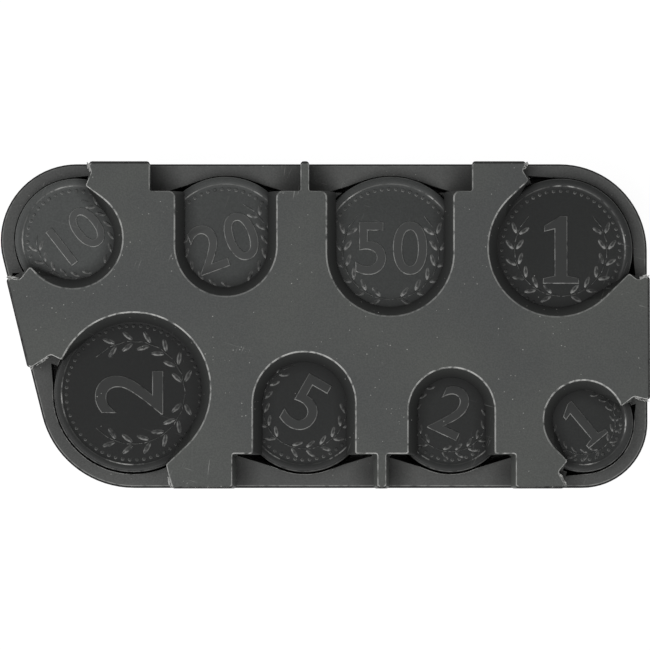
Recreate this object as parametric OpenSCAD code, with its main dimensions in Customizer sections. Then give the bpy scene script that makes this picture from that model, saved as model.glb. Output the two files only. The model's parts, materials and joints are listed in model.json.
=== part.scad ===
// Spring-loaded coin holder with eight wells for round coins.
// Each well has a pusher disc on a spring, held down by the lip of the cover.
// A coin is pressed in through the cut-out and slides out sideways over the low ledge.
// The plan lies in X and Y, the holder rests on its underside at Z = 0.

/* [Coins] */
// Diameter of the 10 cent coin, upper left corner
coin_010_d = 19.75; // [18:0.05:21]
// Diameter of the 20 cent coin, upper row
coin_020_d = 22.25; // [20:0.05:23]
// Diameter of the 50 cent coin, upper row
coin_050_d = 24.25; // [22:0.05:25]
// Diameter of the 1 coin, upper right corner
coin_100_d = 23.25; // [21:0.05:25]
// Diameter of the 2 coin, lower left corner
coin_200_d = 25.75; // [24:0.05:27]
// Diameter of the 5 cent coin, lower row
coin_005_d = 21.25; // [19:0.05:22]
// Diameter of the 2 cent coin, lower row
coin_002_d = 18.75; // [17:0.05:20]
// Diameter of the 1 cent coin, lower right corner
coin_001_d = 16.25; // [15:0.05:18]

/* [Case] */
// Length of the case
case_l = 105; // [104:0.1:110]
// Width of the case
case_w = 52.6; // [52:0.1:58]
// How far the lower left corner stands in from the upper left one
left_set_in = 6.4; // [4:0.1:9]
// Width of the ledge between a coin and the outside of the case
rim_w = 2.5; // [1.9:0.05:2.6]
// Width of the ledge between a coin and the outside of the case at the upper row's straight ways out
top_rim_w = 2.2; // [1.9:0.05:2.6]
// Height of the body, which is the height of the ledge
body_h = 14.8; // [13.5:0.1:20]
// Thickness of the outer wall of the body
wall_t = 1.2; // [1:0.05:1.4]
// Thickness of the deck of the body
deck_t = 2; // [1.2:0.1:3]
// Thickness of the tube around a well
tube_t = 1.1; // [0.8:0.05:1.3]
// Thickness of the base plate
base_t = 1.6; // [1.2:0.1:2]
// Gap around the base plate inside the outer wall
base_clear = 0.15; // [0.1:0.05:0.3]

/* [Wells] */
// Room that a well has over the coin's diameter
well_clear = 0.5; // [0.4:0.05:0.7]
// Room that a coin's way out has over the coin's diameter
exit_clear = 2.1; // [1.6:0.05:2.4]
// Place along the case of the rib between the upper row's two ways out
top_rib_x = -3.1; // [-4.5:0.1:-2]
// Place along the case of the rib between the lower row's two ways out
bottom_rib_x = 9.3; // [8:0.1:10.5]
// Width of each rib
rib_w = 1.4; // [1:0.1:1.8]
// Step of the 20 cent well along the case from an even spacing of its row
step_020 = -0.3; // [-0.6:0.05:0.6]
// Step of the 50 cent well along the case from an even spacing of its row
step_050 = -0.3; // [-0.6:0.05:0.6]
// Step of the 5 cent well along the case from an even spacing of its row
step_005 = 0.3; // [-0.6:0.05:0.6]
// Step of the 2 cent well along the case from an even spacing of its row
step_002 = 0; // [-0.6:0.05:0.6]
// Slope of the ledge's inner edge beside a straight way out
flare_angle = 17; // [15:1:24]
// Depth of the gap beside the disc that the slope leaves
flare_depth = 5; // [3:0.5:8]

/* [Cover] */
// Height of the cover over the ledge
cover_h = 4.2; // [3.9:0.1:5.5]
// Thickness of the retaining lip
lip_t = 1.7; // [1.2:0.1:2]
// How far the foot of a cut-out's wall stands in from its top
lip_slope = 1.5; // [1:0.1:1.8]
// How far the cover stands out over the body
cover_overhang = 0.1; // [0:0.05:0.3]
// Depth of the upper row's ways out into the cover
top_window_depth = 4.7; // [4:0.1:5.2]
// Depth of the lower row's ways out into the cover
bottom_window_depth = 5.5; // [4.5:0.1:6]
// Way from a corner well's middle to the place where its coin passes between the tabs
corner_step = 4; // [2:0.5:6]
// Shift of a cut-out away from its way out
cut_shift = 0.3; // [0:0.1:1]
// Radius of the corners at the mouth of a straight cut-out
mouth_r = 1.1; // [0.5:0.1:1.4]
// Radius of the notches at the ends of a corner's way out
notch_r = 0.9; // [0.6:0.1:1.2]
// Distance of a notch's middle from the outside of the case
notch_in = 1.9; // [1.7:0.1:2.1]
// Width of the lip over the 10 cent coin
lip_010 = 1.8; // [1.2:0.1:2.2]
// Width of the lip over the 20 cent coin
lip_020 = 2.7; // [1.2:0.1:3]
// Width of the lip over the 50 cent coin
lip_050 = 1.9; // [1.2:0.1:2.4]
// Width of the lip over the 1 coin
lip_100 = 0.5; // [0.1:0.1:1]
// Width of the lip over the 2 coin
lip_200 = 0.4; // [0.1:0.1:1]
// Width of the lip over the 5 cent coin
lip_005 = 2.3; // [1.2:0.1:2.6]
// Width of the lip over the 2 cent coin
lip_002 = 2.4; // [1.2:0.1:2.6]
// Width of the lip over the 1 cent coin
lip_001 = 1.6; // [1.2:0.1:2]
// Reach of the 10 cent corner's way out past its well's middle, along and across the case
reach_010 = [1.9, 6.1]; // [1.6:0.1:7]
// Reach of the 1 corner's way out past its well's middle, along and across the case
reach_100 = [5.2, 4.1]; // [3.6:0.1:6]
// Reach of the 2 corner's way out past its well's middle, along and across the case
reach_200 = [5.7, 4.8]; // [4:0.1:7]
// Reach of the 1 cent corner's way out past its well's middle, along and across the case
reach_001 = [2.7, 3]; // [2.6:0.1:5]
// Slope of the 10 cent corner's way out against the length of the case
exit_010 = 36; // [30:1:45]
// Slope of the 1 corner's way out against the length of the case
exit_100 = 46; // [40:1:55]
// Slope of the 2 corner's way out against the length of the case
exit_200 = 44; // [40:1:55]
// Slope of the 1 cent corner's way out against the length of the case
exit_001 = 42; // [35:1:50]

/* [Pushers] */
// Room between a pusher's disc and the coin's diameter
pusher_under = 0.1; // [0:0.05:0.2]
// Thickness of a pusher's disc
disc_t = 2.2; // [1.8:0.1:2.6]
// Way that a disc moves down when it is pressed home
travel = 9.6; // [8:0.1:10.5]
// Gap left under the skirt when a disc is pressed home
stop_gap = 0.6; // [0.3:0.1:1]
// Thickness of the skirt
skirt_t = 1.2; // [1:0.1:1.5]
// Width of the raised rim of a disc
disc_rim_w = 1.2; // [0.8:0.1:1.6]
// Depth of the disc's face below its rim
face_depth = 0.25; // [0.15:0.05:0.5]
// Chamfer of the disc's edge
disc_chamfer = 0.3; // [0.2:0.05:0.5]
// Gap between a disc and the lip above it
rest_gap = 0.1; // [0.05:0.05:0.2]

/* [Springs] */
// Mean radius of a spring
spring_r = 4; // [3.6:0.1:4.8]
// Diameter of the spring wire
wire_d = 0.7; // [0.5:0.05:0.8]
// Turns of a spring
spring_turns = 5; // [4:1:6]
// Gap between the spring and its spigots
spigot_clear = 0.4; // [0.2:0.1:0.8]
// Height of the spigots that hold the spring's ends
spigot_h = 1.5; // [1:0.1:1.8]
// Gap between a spring's end and its seat
seat_gap = 0.05; // [0.02:0.01:0.1]

/* [Fixings] */
// Diameter of the bosses in the body
boss_d = 5.2; // [4.6:0.1:5.6]
// Diameter of the cover's pegs
peg_d = 3; // [2.4:0.1:3.2]
// Length of the cover's pegs
peg_h = 3; // [2:0.1:3.6]
// Gap around and under a peg in its socket
peg_clear = 0.1; // [0.05:0.05:0.2]
// Thread diameter of the case screws
screw_d = 2.4; // [2:0.1:2.6]
// Diameter of the pilot holes for the case screws
pilot_d = 2; // [1.6:0.1:2.1]
// Length of a case screw with its head
screw_l = 8; // [6:0.5:9]
// Diameter of a case screw's head
screw_head_d = 4.2; // [3.8:0.1:4.6]
// Room around a case screw in the base plate
screw_clear = 0.3; // [0.2:0.1:0.5]
// Width of the cross recess in a screw's head
recess_w = 0.6; // [0.4:0.1:0.8]
// Length of the cross recess in a screw's head
recess_l = 2.5; // [2:0.1:3]
// Depth of the cross recess in a screw's head
recess_h = 0.8; // [0.5:0.1:1]

/* [Hidden] */
$fn = 64;
// Small overlap that lets a cut run clear of a face
eps = 0.1;
// Small step that makes a flat wall cross a round one where it would only touch it
touch = 0.02;

// Wells in order: upper row from the left, then lower row from the left
WELLS = ["010", "020", "050", "100", "200", "005", "002", "001"];
coin_d = [coin_010_d, coin_020_d, coin_050_d, coin_100_d, coin_200_d, coin_005_d, coin_002_d, coin_001_d];
lip_w = [lip_010, lip_020, lip_050, lip_100, lip_200, lip_005, lip_002, lip_001];
reach = [reach_010, [], [], reach_100, reach_200, [], [], reach_001];
exit_slope = [exit_010, 90, 90, exit_100, exit_200, 90, 90, exit_001];
step = [0, step_020, step_050, 0, 0, step_005, step_002, 0];
// Wells in each row
ROW_WELLS = 4;
STRAIGHT = [1, 2, 5, 6];
// Corner wells, round the outline against the clock
CORNERS = [0, 4, 7, 3];
// Triples of wells with a fixing point in their middle
FIXINGS = [[0, 1, 4], [1, 4, 5], [1, 2, 5], [2, 5, 6], [2, 3, 6], [3, 6, 7]];
// Fixing points that have a case screw
SCREWS = [0, 1, 4, 5];

left_x = -(case_l + cover_overhang) / 2;
right_x = left_x + case_l;
total_h = body_h + cover_h;
lip_z = total_h - lip_t;
disc_z = lip_z - rest_gap;
disc_under_z = disc_z - disc_t;
// Height of the guiding skirt under a disc
skirt_h = disc_under_z - travel - stop_gap - base_t;
spigot_r = spring_r - wire_d / 2 - spigot_clear;

function row(i) = i < ROW_WELLS ? 1 : -1;
function side(i) = i == 0 || i == 4 ? -1 : 1;
function coin_r(i) = coin_d[i] / 2;
function well_r(i) = (coin_d[i] + well_clear) / 2;
function corner_r(i) = coin_r(i) + rim_w;
function window_y(i) = row(i) > 0 ? case_w / 2 - top_window_depth : bottom_window_depth - case_w / 2;
function ledge_w(i) = row(i) > 0 && reach[i] == [] ? top_rim_w : rim_w;
function well_y(i) = row(i) * (case_w / 2 - coin_r(i) - ledge_w(i));
function corner_x(i) =
    side(i) > 0 ? right_x - corner_r(i) : left_x + corner_r(i) + (row(i) > 0 ? 0 : left_set_in);

// Gap between neighbouring coins of the row that starts with a given well, spaced evenly
function row_gap(first) =
    let (last = first + ROW_WELLS - 1)
    (corner_x(last) - corner_x(first) - coin_r(first) - coin_d[first + 1] - coin_d[first + 2] - coin_r(last))
        / (ROW_WELLS - 1);
function well_x(i) =
    i == 1 || i == 5 ? corner_x(i - 1) + coin_r(i - 1) + row_gap(i - 1) + coin_r(i) + step[i]
    : i == 2 || i == 6 ? corner_x(i + 1) - coin_r(i + 1) - row_gap(i - 2) - coin_r(i) + step[i]
    : corner_x(i);
function well(i) = [well_x(i), well_y(i)];
function fixing(k) = (well(FIXINGS[k][0]) + well(FIXINGS[k][1]) + well(FIXINGS[k][2])) / 3;

// Ends of a straight well's way out: beside the rib, and beside the tab on its other side
function rib_side(i) = i == 1 || i == 5 ? 1 : -1;
function rib_end_x(i) = (row(i) > 0 ? top_rib_x : bottom_rib_x) - rib_side(i) * rib_w / 2;
function tab_end_x(i) = well_x(i) - rib_side(i) * (coin_d[i] + exit_clear) / 2;

// Outward direction of the straight edge from one corner well to the next
function edge_normal(a, b) =
    let (d = well(b) - well(a))
    let (angle = atan2(d.y, d.x) - acos((corner_r(a) - corner_r(b)) / norm(d)))
    [cos(angle), sin(angle)];

// Direction in which a coin leaves its well
function exit_angle(i) = atan2(row(i) * sin(exit_slope[i]), side(i) * cos(exit_slope[i]));

// Places of the two notches at the ends of a corner's way out, from its well's middle
function notches(i) = [
    [-side(i) * reach[i].x, row(i) * (corner_r(i) - notch_in)],
    [side(i) * (corner_r(i) - notch_in), -row(i) * reach[i].y]
];

// Plan of the case, grown outwards by a given width
module outline(grow) {
    for (i = CORNERS)
        translate(well(i)) circle(corner_r(i) + grow);
    polygon([
        for (k = [0:3])
            let (a = CORNERS[k], b = CORNERS[(k + 1) % 4], n = edge_normal(a, b))
            each [well(a) + (corner_r(a) + grow) * n, well(b) + (corner_r(b) + grow) * n]
    ]);
}

// Turns a shape whose way out points along Y to a well's own way out
module to_exit(i) {
    rotate(exit_angle(i) - 90) children();
}

// Plan of the gaps beside a straight well's disc, grown by a given width
module straight_gaps(i, grow) {
    tip = (well_r(i) - eps) * [sin(flare_angle), cos(flare_angle)];
    foot_y = abs(window_y(i) - well_y(i));
    foot_x = tip.x + (tip.y - foot_y) / tan(flare_angle);
    half = [[tip.x + grow, tip.y + grow], [foot_x + grow, foot_y - grow]];
    translate(well(i)) to_exit(i)
        polygon([[-half[0].x, half[0].y], half[0], half[1], [-half[1].x, half[1].y]]);
}

// Plan of the gaps beside a corner well's disc, from the disc to the two notches
module corner_gaps(i) {
    r = well_r(i) - eps;
    translate(well(i))
        for (end = notches(i)) {
            angle = atan2(end.y, end.x);
            tip = angle + sign(sin(exit_angle(i) - angle)) * acos(r / norm(end));
            polygon([end, r * [cos(tip), sin(tip)], r * [cos(angle), sin(angle)]]);
        }
}

// Hollow moulding with the deck, the outer wall, the well tubes and the bosses
module body() {
    color("#3a3b3a") difference() {
        union() {
            difference() {
                linear_extrude(body_h) outline(0);
                translate([0, 0, -eps]) linear_extrude(body_h - deck_t + eps) outline(-wall_t);
            }
            for (i = [0:7])
                translate([well_x(i), well_y(i), base_t])
                    cylinder(r = well_r(i) + tube_t, h = body_h - base_t);
            for (i = STRAIGHT)
                translate([0, 0, body_h - flare_depth - tube_t])
                    linear_extrude(flare_depth + tube_t) straight_gaps(i, tube_t);
            for (k = [0:len(FIXINGS) - 1])
                translate([fixing(k).x, fixing(k).y, base_t]) cylinder(d = boss_d, h = body_h - base_t);
        }
        for (i = [0:7])
            translate([well_x(i), well_y(i), 0]) cylinder(r = well_r(i), h = total_h);
        translate([0, 0, body_h - flare_depth]) linear_extrude(flare_depth + eps) {
            for (i = STRAIGHT)
                straight_gaps(i, 0);
            for (i = CORNERS)
                corner_gaps(i);
        }
        for (k = [0:len(FIXINGS) - 1])
            translate([fixing(k).x, fixing(k).y, body_h - peg_h - peg_clear])
                cylinder(d = peg_d + 2 * peg_clear, h = peg_h + 2 * peg_clear);
        for (k = SCREWS)
            translate([fixing(k).x, fixing(k).y, 0]) cylinder(d = pilot_d, h = screw_l + eps);
    }
}

// Way out of a straight well through the cover, open to the outside
module straight_window(i) {
    outside_y = row(i) * (case_w / 2 + rim_w);
    translate([min(rib_end_x(i), tab_end_x(i)), min(window_y(i), outside_y), body_h - eps])
        cube([abs(rib_end_x(i) - tab_end_x(i)), abs(outside_y - window_y(i)), cover_h + 2 * eps]);
}

// Way out of a corner well through the cover, open on two sides, with its notches
module corner_window(i) {
    size = [reach[i].x + corner_r(i) + rim_w, reach[i].y + corner_r(i) + rim_w];
    x = side(i) > 0 ? -reach[i].x : reach[i].x - size.x;
    y = row(i) > 0 ? -reach[i].y : reach[i].y - size.y;
    translate([well_x(i), well_y(i), body_h - eps]) {
        translate([x, y, 0]) cube([size.x, size.y, cover_h + 2 * eps]);
        for (end = notches(i))
            translate(end) cylinder(r = notch_r, h = cover_h + 2 * eps, $fn = 32);
    }
}

// Cut-out above a disc and along its way out, with walls that slope in to the edge of the lip
module cut_out(i) {
    top_r = coin_r(i) - lip_w[i];
    over = lip_slope * eps / lip_t;
    low_r = top_r - lip_slope - over;
    high_r = top_r + over;
    straight = reach[i] == [];
    run = straight ? abs(window_y(i) - well_y(i)) + cut_shift : corner_r(i) + rim_w;
    translate(well(i)) to_exit(i) translate([0, -cut_shift, 0]) {
        translate([0, 0, lip_z - eps]) cylinder(r1 = low_r, r2 = high_r, h = lip_t + 2 * eps);
        rotate([90, 0, 180]) linear_extrude(run + eps)
            polygon([
                [touch - low_r, lip_z - eps], [low_r - touch, lip_z - eps],
                [high_r - touch, total_h + eps], [touch - high_r, total_h + eps]
            ]);
        if (straight)
            for (turn = [0, 1])
                mirror([turn, 0, 0]) translate([top_r, run - mouth_r, lip_z - eps]) mouth_corner();
    }
}

// Rounding of the corner between a straight cut-out and its window
module mouth_corner() {
    linear_extrude(lip_t + 2 * eps) difference() {
        translate([-eps, 0]) square([mouth_r + eps, mouth_r + eps]);
        translate([mouth_r, 0]) circle(mouth_r, $fn = 32);
    }
}

// Space under the lip that holds the top coin, with the start of its way out
module coin_space(i) {
    run = abs(window_y(i) - well_y(i)) + eps;
    half_w = well_r(i) - touch;
    translate([well_x(i), well_y(i), body_h - eps]) to_exit(i) linear_extrude(cover_h - lip_t + eps) {
        circle(well_r(i));
        if (reach[i] == [])
            translate([-half_w, 0]) square([2 * half_w, run]);
        else
            translate([0, corner_step]) circle(well_r(i));
    }
}

// Top moulding with the lips, the ways out and the pegs that seat in the body
module cover() {
    color("#4c4d4c") {
        difference() {
            translate([0, 0, body_h]) linear_extrude(cover_h) outline(cover_overhang);
            for (i = [0:7]) {
                coin_space(i);
                cut_out(i);
            }
            for (i = STRAIGHT)
                straight_window(i);
            for (i = CORNERS)
                corner_window(i);
        }
        for (k = [0:len(FIXINGS) - 1])
            translate([fixing(k).x, fixing(k).y, body_h - peg_h])
                cylinder(d = peg_d, h = peg_h + cover_h - lip_t);
    }
}

// Plate that closes the body from below and carries the springs
module base_plate() {
    color("#343534") difference() {
        union() {
            linear_extrude(base_t) outline(-wall_t - base_clear);
            for (i = [0:7])
                translate(well(i)) cylinder(r = spigot_r, h = base_t + spigot_h);
        }
        for (k = SCREWS)
            translate([fixing(k).x, fixing(k).y, 0]) {
                translate([0, 0, -eps]) cylinder(d = screw_d + screw_clear, h = base_t + 2 * eps);
                screw_head(screw_clear);
            }
    }
}

// Countersunk head of a case screw, grown by a given width
module screw_head(grow) {
    head_h = (screw_head_d - screw_d) / 2;
    translate([0, 0, -eps])
        cylinder(d1 = screw_head_d + grow + 2 * eps, d2 = screw_d + grow, h = head_h + eps);
}

// Disc that lifts the coins, with its skirt and its spigot for the spring
module pusher(i) {
    r = coin_r(i) - pusher_under / 2;
    low_z = disc_under_z - skirt_h;
    color("#323433") translate([well_x(i), well_y(i), 0]) difference() {
        union() {
            translate([0, 0, low_z]) cylinder(r = r, h = disc_z - disc_chamfer - low_z);
            translate([0, 0, disc_z - disc_chamfer])
                cylinder(r1 = r, r2 = r - disc_chamfer, h = disc_chamfer);
        }
        translate([0, 0, disc_z - face_depth]) cylinder(r = r - disc_rim_w, h = face_depth + eps);
        translate([0, 0, low_z - eps]) difference() {
            cylinder(r = r - skirt_t, h = skirt_h + eps);
            translate([0, 0, skirt_h - spigot_h + eps]) cylinder(r = spigot_r, h = spigot_h + eps);
        }
    }
}

SPRING_RINGS = 8;
WIRE_SIDES = 6;
spring_low_z = base_t + seat_gap + wire_d / 2 * cos(30);
spring_high_z = disc_under_z - seat_gap - wire_d / 2 * cos(30);
spring_steps = spring_turns * SPRING_RINGS;
// Share of a turn that lies flat at each end of a spring
flat_turn = 0.5;

// Height of the wire's middle after a number of turns
function wire_z(turns) =
    let (climb = (turns - flat_turn) / (spring_turns - 2 * flat_turn))
    spring_low_z + (spring_high_z - spring_low_z) * min(1, max(0, climb));
function wire_point(s) =
    let (turns = s / SPRING_RINGS)
    [spring_r * cos(360 * turns), spring_r * sin(360 * turns), wire_z(turns)];
function wire_ring(s) =
    let (p = wire_point(s), angle = 360 * s / SPRING_RINGS)
    [for (k = [0:WIRE_SIDES - 1])
        p + wire_d / 2 * [cos(360 * k / WIRE_SIDES) * cos(angle), cos(360 * k / WIRE_SIDES) * sin(angle),
            sin(360 * k / WIRE_SIDES)]];

spring_gap = min([
    for (a = [0:spring_steps], b = [a + SPRING_RINGS / 2:1:spring_steps])
        norm(wire_point(a) - wire_point(b)) - wire_d
]);
echo(least_spring_gap = spring_gap);

// Helical wire from the base plate to the underside of a disc
module spring(i) {
    points = [for (s = [0:spring_steps]) each wire_ring(s)];
    last = spring_steps * WIRE_SIDES;
    sides = [
        for (s = [0:spring_steps - 1], k = [0:WIRE_SIDES - 1])
            let (a = s * WIRE_SIDES + k, b = s * WIRE_SIDES + (k + 1) % WIRE_SIDES)
            each [[a, b, a + WIRE_SIDES], [b, b + WIRE_SIDES, a + WIRE_SIDES]]
    ];
    ends = [
        for (k = [1:WIRE_SIDES - 2])
            each [[0, k + 1, k], [last, last + k, last + k + 1]]
    ];
    color("#b9bbbd") translate(well(i)) polyhedron(points, concat(sides, ends));
}

// Countersunk self-tapping screws that hold the base plate
module case_screws() {
    point_h = screw_d / 2;
    color("#a6a8aa")
        for (k = SCREWS)
            translate([fixing(k).x, fixing(k).y, 0]) difference() {
                union() {
                    intersection() {
                        screw_head(0);
                        cylinder(d = screw_head_d, h = base_t);
                    }
                    cylinder(d = screw_d, h = screw_l - point_h);
                    translate([0, 0, screw_l - point_h]) cylinder(d1 = screw_d, d2 = recess_w, h = point_h);
                }
                for (turn = [0, 90])
                    rotate(turn) translate([-recess_l / 2, -recess_w / 2, -eps])
                        cube([recess_l, recess_w, recess_h + eps]);
            }
}

cover();
body();
base_plate();
case_screws();
for (i = [0:7]) {
    pusher(i);
    spring(i);
}
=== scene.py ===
"""Looks of a flat pocket coin holder, a case with eight spring-loaded discs, over its CAD frame."""

import json
import logging
from dataclasses import dataclass, field, replace
from enum import Enum
from math import acos, atan2, copysign, cos, degrees, pi, radians, sin, tan
from random import Random
from typing import Iterable, NamedTuple

import bmesh
import bpy
from mathutils import Matrix, Vector
from mathutils.geometry import intersect_point_line
from mathutils.kdtree import KDTree

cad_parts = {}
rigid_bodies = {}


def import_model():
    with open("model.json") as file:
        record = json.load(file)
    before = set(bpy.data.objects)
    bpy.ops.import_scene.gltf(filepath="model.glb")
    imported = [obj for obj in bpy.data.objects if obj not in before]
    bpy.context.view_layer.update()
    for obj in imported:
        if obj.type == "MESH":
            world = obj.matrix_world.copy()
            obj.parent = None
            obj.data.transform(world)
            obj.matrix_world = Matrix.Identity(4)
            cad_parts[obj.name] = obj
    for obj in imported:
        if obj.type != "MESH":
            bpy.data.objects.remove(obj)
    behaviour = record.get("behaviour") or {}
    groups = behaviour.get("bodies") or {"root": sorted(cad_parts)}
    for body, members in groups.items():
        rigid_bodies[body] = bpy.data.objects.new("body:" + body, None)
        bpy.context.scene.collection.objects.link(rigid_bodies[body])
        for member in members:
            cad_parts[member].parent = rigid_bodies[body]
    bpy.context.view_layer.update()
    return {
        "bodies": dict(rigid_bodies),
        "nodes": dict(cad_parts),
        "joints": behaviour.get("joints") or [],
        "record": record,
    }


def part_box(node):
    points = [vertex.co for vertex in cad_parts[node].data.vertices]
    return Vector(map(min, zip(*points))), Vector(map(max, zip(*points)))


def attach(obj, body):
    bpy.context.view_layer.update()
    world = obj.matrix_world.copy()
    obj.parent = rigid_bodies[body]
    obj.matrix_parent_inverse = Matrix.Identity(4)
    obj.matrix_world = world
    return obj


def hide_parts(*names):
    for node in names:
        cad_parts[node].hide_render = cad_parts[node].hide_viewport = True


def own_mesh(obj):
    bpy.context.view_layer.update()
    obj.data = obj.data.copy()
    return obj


MM = 0.001
TINY = 1e-6
CASE = "case"
WEAR_AND_GLINT = "worn"
CUT = "cut"
SHADE = "shade"

log = logging.getLogger("coin_holder")


class Exit(Enum):
    """Long side of the case that a straight way out opens to, as the sign of its Y."""

    UP = 1
    DOWN = -1


class LevelShape(NamedTuple):
    """Shape of the straight ways out at one height of the cover's walls.

    Attributes:
        lean: Share of the lower walls' lean that is reached there.
        mouth_r: Rounding of a cut-out's mouth, in millimetres.
        bend_r: Rounding of the inner bends, in millimetres.
    """

    lean: float
    mouth_r: float
    bend_r: float


class Level(Enum):
    """Heights of the cover's walls, from its top edge down to the ledge of the body."""

    TOP = LevelShape(0.0, 1.1, 0.35)
    EDGE = LevelShape(0.06, 1.0, 0.31)
    LIP = LevelShape(0.4, 0.5, 0.1)
    SPACE = LevelShape(0.4, 0.08, 0.1)
    FOOT = LevelShape(1.0, 0.08, 0.1)


class Well(NamedTuple):
    """One coin well, as its pusher's CAD solid places it.

    Attributes:
        name: Name of the well, after its coin.
        middle: Centre of the well in plan, in millimetres.
        disc_r: Radius of the disc, in millimetres.
        disc_gap: How much smaller than the coin the disc's radius is.
        coin_gap: How much smaller than the well the coin's radius is.
    """

    name: str
    middle: Vector
    disc_r: float
    disc_gap: float = 0.05
    coin_gap: float = 0.25

    @classmethod
    def from_frame(cls, name: str) -> "Well":
        """Reads a well's place and size off its pusher.

        Args:
            name: Name of the well.

        Returns:
            The well, in millimetres.
        """
        low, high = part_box(f"pusher_{name}")
        middle = (low + high).to_2d() / 2 / MM
        return cls(name, middle, (high.x - low.x) / 2 / MM)

    @property
    def coin_r(self) -> float:
        """Radius of the coin, in millimetres."""
        return self.disc_r + self.disc_gap

    @property
    def wall_r(self) -> float:
        """Radius of the well's wall, in millimetres."""
        return self.coin_r + self.coin_gap


@dataclass
class PlanPath:
    """Closed outline in plan, made of straight runs, rounded corners and arcs.

    Attributes:
        nodes: Place of each node, the radius of its fillet and the steps round that fillet.
    """

    nodes: list[tuple[Vector, float, int]] = field(default_factory=list)

    def corner(self, at: Vector, fillet: float, steps: int = 5) -> None:
        """Adds a rounded corner.

        Args:
            at: Place of the sharp corner.
            fillet: Radius of its rounding.
            steps: Number of edges round the rounding.
        """
        self.nodes.append((Vector(at), fillet, steps))

    def arc(self, middle: Vector, radius: float, start: float, end: float, steps: int) -> None:
        """Adds the points of an arc.

        Args:
            middle: Centre of the arc.
            radius: Radius of the arc.
            start: Angle of its first point.
            end: Angle of its last point.
            steps: Number of edges along it.
        """
        for step in range(steps + 1):
            angle = start + (end - start) * step / steps
            self.nodes.append((middle + radius * Vector((cos(angle), sin(angle))), 0.0, 0))

    def trace(self) -> list[Vector]:
        """Rounds the corners.

        Returns:
            The points of the outline in order, as many at every level.
        """
        points = []
        for index, (at, fillet, steps) in enumerate(self.nodes):
            if not steps:
                points.append(at)
                continue
            back = self.nodes[index - 1][0] - at
            ahead = self.nodes[(index + 1) % len(self.nodes)][0] - at
            half = back.angle(ahead) / 2
            run = min(fillet / tan(half), 0.45 * back.length, 0.45 * ahead.length)
            radius = run * tan(half)
            middle = at + (back.normalized() + ahead.normalized()).normalized() * radius / sin(half)
            first = (at + back.normalized() * run - middle).normalized()
            last = (at + ahead.normalized() * run - middle).normalized()
            for step in range(steps + 1):
                points.append(middle + first.slerp(last, step / steps) * radius)
        return points


class NodeBoard:
    """Places and joins the nodes of one shader tree."""

    def __init__(self, tree: bpy.types.NodeTree) -> None:
        """Starts on a tree."""
        self.tree = tree

    @classmethod
    def for_material(cls, name: str) -> tuple[bpy.types.Material, "NodeBoard"]:
        """Starts a material without any nodes.

        Args:
            name: Name of the material.

        Returns:
            The material and a board to place its nodes on.
        """
        material = bpy.data.materials.new(name)
        material.use_nodes = True
        material.node_tree.nodes.clear()
        return material, cls(material.node_tree)

    def add(self, kind: str, inputs: dict | None = None, **settings: object) -> bpy.types.Node:
        """Adds a node.

        Args:
            kind: Type name of the node.
            inputs: Values or sockets for its inputs, by name or number.
            **settings: Properties of the node.

        Returns:
            The new node.
        """
        node = self.tree.nodes.new(kind)
        for name, value in settings.items():
            setattr(node, name, value)
        for name, value in (inputs or {}).items():
            if isinstance(value, bpy.types.NodeSocket):
                self.tree.links.new(value, node.inputs[name])
            else:
                node.inputs[name].default_value = value
        return node

    def math(self, operation: str, *values: object, clamp: bool = False) -> bpy.types.NodeSocket:
        """Adds a Math node.

        Args:
            operation: Name of the operation.
            *values: Numbers or sockets to work on.
            clamp: Whether the result is held between 0 and 1.

        Returns:
            The socket of the result.
        """
        node = self.add("ShaderNodeMath", dict(enumerate(values)), operation=operation, use_clamp=clamp)
        return node.outputs[0]

    def ramp(self, value: bpy.types.NodeSocket, low: float, high: float) -> bpy.types.NodeSocket:
        """Maps a value to 0 to 1 with a smooth step.

        Args:
            value: Socket of the value.
            low: Value that gives 0.
            high: Value that gives 1.

        Returns:
            The socket of the mapped value.
        """
        inputs = {"Value": value, "From Min": low, "From Max": high}
        node = self.add("ShaderNodeMapRange", inputs, interpolation_type="SMOOTHSTEP")
        return node.outputs["Result"]

    def blend(self, share: object, base: object, over: object, mode: str = "MIX") -> bpy.types.NodeSocket:
        """Mixes two colours.

        Args:
            share: Number or socket of the share of the second colour.
            base: First colour or its socket.
            over: Second colour or its socket.
            mode: Way in which they mix.

        Returns:
            The socket of the mixed colour.
        """
        inputs = {0: share, 6: base, 7: over}
        return self.add("ShaderNodeMix", inputs, data_type="RGBA", blend_type=mode).outputs[2]

    def attribute(self, name: str) -> bpy.types.NodeSocket:
        """Gives the number that the mesh carries under a name."""
        return self.add("ShaderNodeAttribute", attribute_name=name).outputs["Fac"]

    def mask(self, group: bpy.types.NodeTree, **values: float) -> bpy.types.NodeSocket:
        """Places a group that puts out a mask.

        Args:
            group: The group.
            **values: Its inputs.

        Returns:
            The socket of the mask.
        """
        return self.add("ShaderNodeGroup", values, node_tree=group).outputs["Mask"]

    def place(
        self, scale: tuple[float, float, float] = (1.0, 1.0, 1.0), turn: float = 0.0,
    ) -> bpy.types.NodeSocket:
        """Gives the piece's own coordinates, scaled and turned.

        Args:
            scale: Scale along each axis.
            turn: Turn about the upright axis.

        Returns:
            The socket of the coordinates.
        """
        where = self.add("ShaderNodeTexCoord").outputs["Object"]
        turned = self.add("ShaderNodeMapping", {"Vector": where, "Rotation": (0.0, 0.0, turn)}).outputs[0]
        return self.add("ShaderNodeMapping", {"Vector": turned, "Scale": scale}).outputs[0]


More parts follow.
